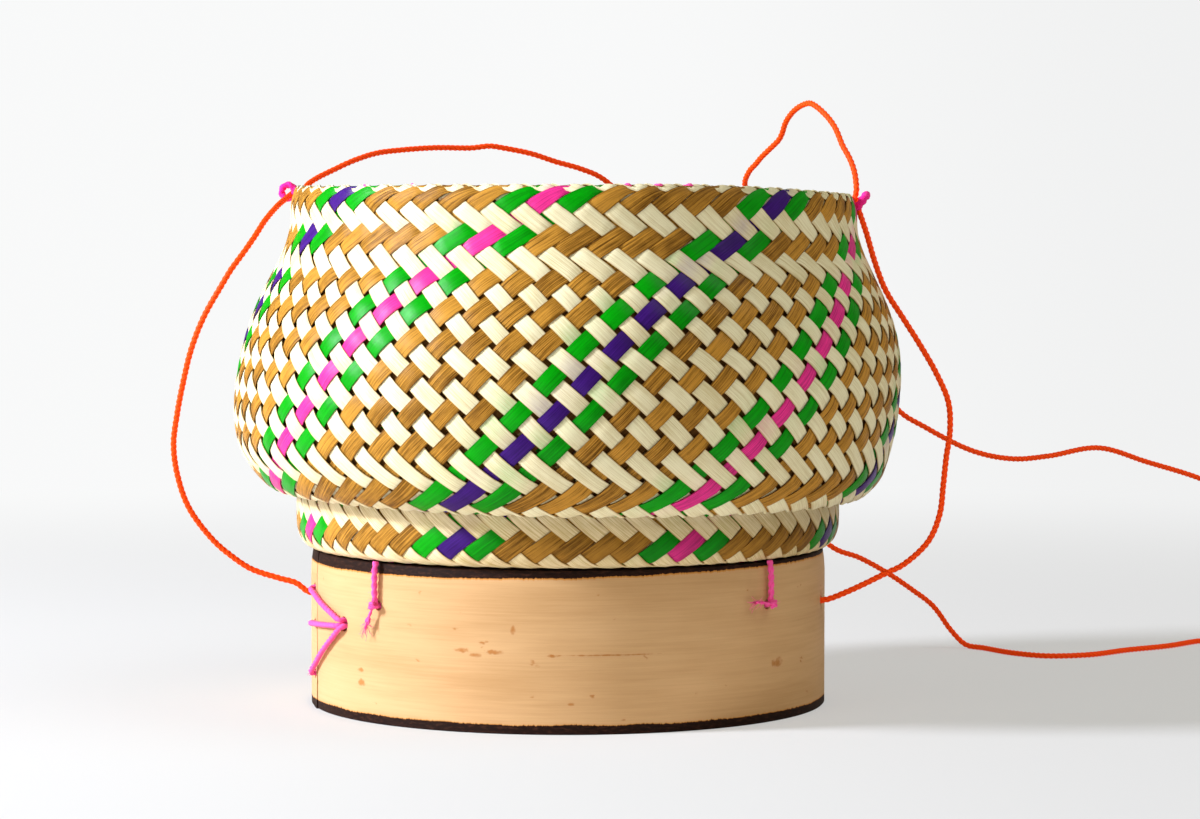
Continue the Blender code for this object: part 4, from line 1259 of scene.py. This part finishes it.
class BASKET_OT_lid(bpy.types.Operator):
    """Weave the lid's double wall"""

    bl_idname = "basket.lid"
    bl_label = "Lid"

    def execute(self, context):
        make_wall(context, LID, lid_outline())
        return {"FINISHED"}


class BASKET_OT_cup(bpy.types.Operator):
    """Weave the cup's double wall"""

    bl_idname = "basket.cup"
    bl_label = "Cup"

    def execute(self, context):
        make_wall(context, CUP, cup_outline())
        return {"FINISHED"}


class BASKET_OT_discs(bpy.types.Operator):
    """Weave the lid's round top and the cup's round floor"""

    bl_idname = "basket.discs"
    bl_label = "Lid top and floor"

    def execute(self, context):
        weave_disc(context, "lid_top_mat", LID, "lid_top", LID_TOP_RADIUS, LID_TOP_BASE + DISC / 2, 31)
        weave_disc(context, "floor_mat", CUP, "basket_floor", FLOOR_RADIUS, FLOOR_BASE + DISC / 2, 37)
        return {"FINISHED"}


def smoothstep(share):
    """Return a smooth rise from 0 to 1 for a share that rises from 0 to 1."""
    share = min(max(share, 0.0), 1.0)
    return share * share * (3.0 - 2.0 * share)


def strip_faces(turn):
    """Return the foot strip's outer and inner radius, at a turn in degrees from its outer end."""
    dive = smoothstep((turn - 360.0 + LAP_DIVE) / LAP_DIVE) * (LAP_EDGE + LAP_GAP)
    outer = FOOT_RADIUS - dive
    inner = FOOT_INSIDE - dive
    grown = FOOT_WALL - LAP_EDGE
    if turn <= LAP_ANGLE:
        inner = FOOT_RADIUS - LAP_EDGE - grown * turn / LAP_ANGLE
    if turn >= 360.0:
        outer -= grown * (turn - 360.0) / LAP_ANGLE
    return outer, inner


class BASKET_OT_foot(bpy.types.Operator):
    """Bend the foot ring of one strip of stalk, with its lap and its holes"""

    bl_idname = "basket.foot"
    bl_label = "Foot ring"

    STEPS = 420
    BANDS = 14
    SOFT_EDGE = 0.00025
    INSIDE_MEASURE = 0.05

    def execute(self, context):
        shape, layer = new_shape()
        edge = self.SOFT_EDGE
        levels = [FOOT_HEIGHT * band / self.BANDS for band in range(1, self.BANDS)]
        levels = [0.0, edge, *levels, FOOT_HEIGHT - edge, FOOT_HEIGHT]
        rings, along = [], []
        for step in range(self.STEPS + 1):
            turn = (360.0 + LAP_ANGLE) * step / self.STEPS
            outer, inner = strip_faces(turn)
            ring = []
            for side, face in ((1, outer), (-1, inner)):
                for level in levels[::side]:
                    rise = max((level - FOOT_HEIGHT + FOOT_DRAW_HEIGHT) / FOOT_DRAW_HEIGHT, 0.0)
                    soft = edge * side if level in (0.0, FOOT_HEIGHT) else 0.0
                    ring.append(around(face - FOOT_DRAW_IN * rise ** 2 - soft, LAP_END - turn, level))
            ring.append(ring[0])
            rings.append(ring)
            along.append(radians(turn) * FOOT_RADIUS)
        across = [*levels, *[level + self.INSIDE_MEASURE for level in levels[::-1]], 0.0]
        add_sheet(shape, layer, rings, along, across)
        close_up(shape)
        material = finishes(context)["split stalk"]
        ring = finished_piece("stalk_ring", shape, [material], "basket", SHARP, ("foot_ring",))
        self.bore(context, ring)
        ring.data.shade_smooth()
        ring.data.set_sharp_from_angle(angle=radians(SHARP))
        return {"FINISHED"}

    def bore(self, context, ring):
        """Cut the ring's holes with pins that point out from the axis."""
        chosen = settings_of(context)
        tie_bore = chosen.tie_yarn + YARN_HOLE_ROOM
        lap_bore = chosen.lap_yarn + YARN_HOLE_ROOM
        holes = [(*spot, CORD_HOLE, CORD_HOLE) for spot in CORD_HOLES.values()]
        holes += [(*spot, *CORD_SLIT) for spot in CORD_HOLES.values()]
        holes += [(angle, TIE_HOLE_HEIGHT, tie_bore, tie_bore) for angle in TIES.values()]
        holes += [(*LAP_FRONT_HOLE, LAP_FRONT_BORE, LAP_FRONT_BORE)]
        holes += [(*spot, lap_bore, lap_bore) for spot in LAP_BACK_HOLES]
        for angle, height, wide, tall in holes:
            shape = bmesh.new()
            bmesh.ops.create_cone(shape, cap_ends=True, segments=20, radius1=0.5, radius2=0.5, depth=0.010)
            pin_mesh = bpy.data.meshes.new("pin")
            shape.to_mesh(pin_mesh)
            shape.free()
            pin = bpy.data.objects.new("pin", pin_mesh)
            pin.scale = (tall, wide, 1.0)
            pin.location = around(FOOT_RADIUS - 0.002, angle, height)
            pin.rotation_euler = (0.0, pi / 2, radians(angle))
            context.scene.collection.objects.link(pin)
            cut = ring.modifiers.new("hole", "BOOLEAN")
            cut.operation = "DIFFERENCE"
            cut.solver = "EXACT"
            cut.object = pin
            context.view_layer.update()
            evaluated = ring.evaluated_get(context.evaluated_depsgraph_get())
            bored = bpy.data.meshes.new_from_object(evaluated)
            ring.modifiers.clear()
            ring.data = bored
            bpy.data.objects.remove(pin, do_unlink=True)


class BASKET_OT_ties(bpy.types.Operator):
    """Tie the cup to the foot ring with yarn"""

    bl_idname = "basket.ties"
    bl_label = "Ties"

    def execute(self, context):
        chosen = settings_of(context)
        material = finishes(context)["pink yarn"]
        half = chosen.tie_yarn / 2
        outside = FOOT_RADIUS + GAP + half
        inside = FOOT_INSIDE - FOOT_DRAW_IN - GAP - half
        hole, bend = TIE_HOLE_HEIGHT, TIE_BEND
        route = (
            (outside - 0.0004, FOOT_HEIGHT + 0.0004), (outside, FOOT_HEIGHT - 0.002),
            (outside + 0.0001, hole + 2 * bend), (outside, hole + bend),
            (outside - half / 3, hole + bend / 4), (FOOT_RADIUS - half / 2, hole),
            (FOOT_INSIDE + half / 2, hole), (inside + half, hole + bend / 4),
            (inside, hole + bend), (inside, hole + 2 * bend), (inside, FLOOR_BASE - GAP),
        )
        for side, angle in TIES.items():
            chance = random.Random(side)
            shape, layer = new_shape()
            points = through_points([around(radius, angle, height) for radius, height in route], 6)
            add_rope(shape, layer, points, chosen.tie_yarn, 2, TIE_LAY)
            outward, sideways = directions(angle)
            start = around(outside + TIE_KNOT_OUT, angle, hole + 0.0002)
            knot = self.knot(start, outward, sideways)
            add_rope(shape, layer, knot, chosen.tie_yarn * 0.85, 2, TIE_LAY, 8)
            beside, above = TAILS[side]
            aim = sideways * beside + UP * above
            for share, apart in ((1.0, 0.0), (0.8, 0.0007), (0.7, -0.0006)):
                tip = start + aim * share + sideways * apart + outward * 0.0004
                tail = [start, start + aim * 0.5 * share + outward * 0.0003, tip]
                add_rope(shape, layer, through_points(tail, 5), chosen.tie_yarn * 0.45, 2, TAIL_LAY, 8)
            places = [(p, outward) for p in points[4:40:2]] + [(p, outward) for p in knot[::2]]
            add_hairs(shape, layer, places, TIE_HAIRS, chance)
            places = [(start + aim * share, aim.normalized()) for share in (0.5, 0.65, 0.8, 0.9) * 9]
            add_hairs(shape, layer, places, TAIL_HAIRS, chance)
            close_up(shape)
            node = "tie_" + side
            finished_piece(node + "_yarn", shape, [material], "basket", replaces=(node,))
        return {"FINISHED"}

    def knot(self, start, outward, sideways):
        """Return the points of a small knot, wound round its start from above."""
        points = []
        for step in range(TIE_KNOT_STEPS + 1):
            turn = 2 * pi * TIE_KNOT_TURNS * step / TIE_KNOT_STEPS + TIE_KNOT_START
            spot = start + sideways * cos(turn) * TIE_KNOT_SIDE + outward * sin(turn) * TIE_KNOT_DEPTH
            points.append(spot + UP * (TIE_KNOT_DROP / 2 - TIE_KNOT_DROP * step / TIE_KNOT_STEPS))
        return points


def bend_into_hole(hole, neighbour, face, side, half):
    """Return a bend from the strip's surface into a hole, as (radius, angle, height) points."""
    arc = radians(neighbour[0] - hole[0]) * face
    rise = neighbour[1] - hole[1]
    length = hypot(arc, rise)
    points = []
    for away, lift in ((LAP_BEND, GAP + 1.25 * half), (LAP_BEND / 6, 1.2 * half), (0.0, -0.5 * half)):
        angle = hole[0] + degrees(arc / length * away / face)
        points.append((face + side * lift, angle, hole[1] + rise / length * away))
    return points


class BASKET_OT_lap_lashing(bpy.types.Operator):
    """Sew the foot ring's lap with one length of yarn"""

    bl_idname = "basket.lap_lashing"
    bl_label = "Lap lashing"

    def execute(self, context):
        chosen = settings_of(context)
        half = chosen.lap_yarn / 2
        front_angle, front_height = LAP_FRONT_HOLE
        fronts = []
        for turn in (90.0, 210.0, 330.0):
            shift = degrees(LAP_FRONT_SPREAD * cos(radians(turn)) / FOOT_RADIUS)
            fronts.append((front_angle + shift, front_height + LAP_FRONT_SPREAD * sin(radians(turn))))
        lie_out = FOOT_RADIUS + GAP + half
        lie_in = LAP_INSIDE - GAP - half
        first = LAP_BACK_HOLES[0]
        route = [(lie_in, first[0] + LAP_TAIL, first[1])]
        for number, (back, front) in enumerate(zip(LAP_BACK_HOLES, fronts)):
            came_from = fronts[number - 1] if number else (first[0] + LAP_TAIL, first[1])
            route += bend_into_hole(back, came_from, LAP_INSIDE, -1.0, half)
            route += reversed(bend_into_hole(back, front, FOOT_RADIUS, 1.0, half))
            for share in (0.2, 0.4, 0.6, 0.8):
                angle = back[0] + share * (front[0] - back[0])
                route.append((lie_out, angle, back[1] + share * (front[1] - back[1])))
            following = LAP_BACK_HOLES[number + 1] if number < 2 else (front[0] - LAP_TAIL, front[1])
            route += bend_into_hole(front, back, FOOT_RADIUS, 1.0, half)
            route += reversed(bend_into_hole(front, following, LAP_INSIDE, -1.0, half))
            for share in (0.25, 0.5, 0.75) if number < 2 else (1.0,):
                angle = front[0] + share * (following[0] - front[0])
                route.append((lie_in, angle, front[1] + share * (following[1] - front[1])))
        points = through_points([around(*point) for point in route], 6)
        shape, layer = new_shape()
        add_rope(shape, layer, points, chosen.lap_yarn, 2, SEWING_LAY, 10)
        chance = random.Random(5)
        outer = [p for p in points if hypot(p.x, p.y) > FOOT_RADIUS][::4]
        add_hairs(shape, layer, [(p, (p.x * 15, p.y * 15, 0.0)) for p in outer], LAP_HAIRS, chance)
        close_up(shape)
        material = finishes(context)["pink yarn"]
        finished_piece("lap_stitches", shape, [material], "basket", replaces=("lap_lashing",))
        return {"FINISHED"}


class BASKET_OT_loops(bpy.types.Operator):
    """Make the yarn loops on the lid's rim that the cord runs through"""

    bl_idname = "basket.loops"
    bl_label = "Cord loops"

    def execute(self, context):
        chosen = settings_of(context)
        material = finishes(context)["loop yarn"]
        for side, (angle, height, turn, upward, radius, reach, yarn) in LOOPS.items():
            chance = random.Random(side)
            outward, sideways = directions(angle)
            across = sideways * cos(radians(turn)) + UP * sin(radians(turn))
            away = outward * cos(radians(upward)) + UP * sin(radians(upward))
            middle = Vector(shifted(around(LID_NECK, angle, height), LID_LEAN, True))
            root = middle - outward * LOOP_ROOT
            points = [root]
            for step in range(LOOP_STEPS + 1):
                bend = radians(LOOP_SWEEP * step / LOOP_STEPS + LOOP_START)
                points.append(middle + across * radius * cos(bend) + away * (reach + radius * sin(bend)))
            points.append(root - across * radius * 0.3)
            shape, layer = new_shape()
            add_rope(shape, layer, points, yarn, 2, LOOP_LAY)
            places = [(p, (p - middle) * 300.0) for p in points[2:-2] * 2]
            add_hairs(shape, layer, places, LOOP_HAIRS, chance)
            close_up(shape)
            node = "loop_" + side
            finished_piece(node + "_yarn", shape, [material], "lid", replaces=(node,))
        return {"FINISHED"}


class BASKET_OT_lacings(bpy.types.Operator):
    """Sew the round top and the floor to their walls"""

    bl_idname = "basket.lacings"
    bl_label = "Lacings"

    def execute(self, context):
        self.lace(context, "top_stitches", "top_lacing", LID, TOP_LACING, LID_TOP_BASE + DISC, PEEPS)
        self.lace(context, "floor_stitches", "floor_lacing", CUP, FLOOR_LACING, FLOOR_BASE + DISC)
        return {"FINISHED"}

    def lace(self, context, name, node, weave, lacing, low, peeps=()):
        """Wind yarn in and out between two radii and two heights."""
        chosen = settings_of(context)
        inner, outer, high = lacing
        middle = (inner + outer) / 2
        base = low + GAP + chosen.lacing_yarn / 2
        step = 360.0 / STITCHES
        points = []
        for stitch in range(STITCHES):
            angle = 360.0 * stitch / STITCHES
            crest = high + PEEP_RISE * (stitch in peeps)
            points += [
                around(inner, angle, base), around(middle, angle + 0.3 * step, (base + crest) / 2),
                around(outer, angle + 0.5 * step, crest), around(middle, angle + 0.7 * step, base),
            ]
        points.append(points[0].copy())
        points = [Vector(spot) for spot in shifted(points, weave.lean, weave.tilted)]
        shape, layer = new_shape()
        add_rope(shape, layer, through_points(points, 4), chosen.lacing_yarn, 2, SEWING_LAY, 8)
        close_up(shape)
        material = finishes(context)["pink yarn"]
        finished_piece(name, shape, [material], weave.body, replaces=(node,))


class BASKET_PT_panel(bpy.types.Panel):
    """The basket's pieces, in the order in which they are made"""

    bl_idname = "BASKET_PT_panel"
    bl_label = "Sticky rice basket"
    bl_space_type = "VIEW_3D"
    bl_region_type = "UI"
    bl_category = "Basket"

    def draw(self, context):
        for operator in OPERATORS:
            self.layout.operator(operator.bl_idname)
        for name in BasketSettings.__annotations__:
            self.layout.prop(settings_of(context), name)


OPERATORS = (
    BASKET_OT_stage, BASKET_OT_cord, BASKET_OT_lid, BASKET_OT_cup, BASKET_OT_discs, BASKET_OT_foot,
    BASKET_OT_ties, BASKET_OT_lap_lashing, BASKET_OT_loops, BASKET_OT_lacings,
)
CLASSES = (BasketSettings, *OPERATORS, BASKET_PT_panel)


def register():
    for entry in CLASSES:
        bpy.utils.register_class(entry)
    bpy.types.Scene.rice_basket = bpy.props.PointerProperty(type=BasketSettings)


def unregister():
    del bpy.types.Scene.rice_basket
    for entry in reversed(CLASSES):
        bpy.utils.unregister_class(entry)


def main():
    register()
    bpy.ops.basket.stage()
    bpy.ops.basket.cord()
    bpy.ops.basket.lid()
    bpy.ops.basket.cup()
    bpy.ops.basket.discs()
    bpy.ops.basket.foot()
    bpy.ops.basket.ties()
    bpy.ops.basket.lap_lashing()
    bpy.ops.basket.loops()
    bpy.ops.basket.lacings()


if __name__ == "__main__":
    main()
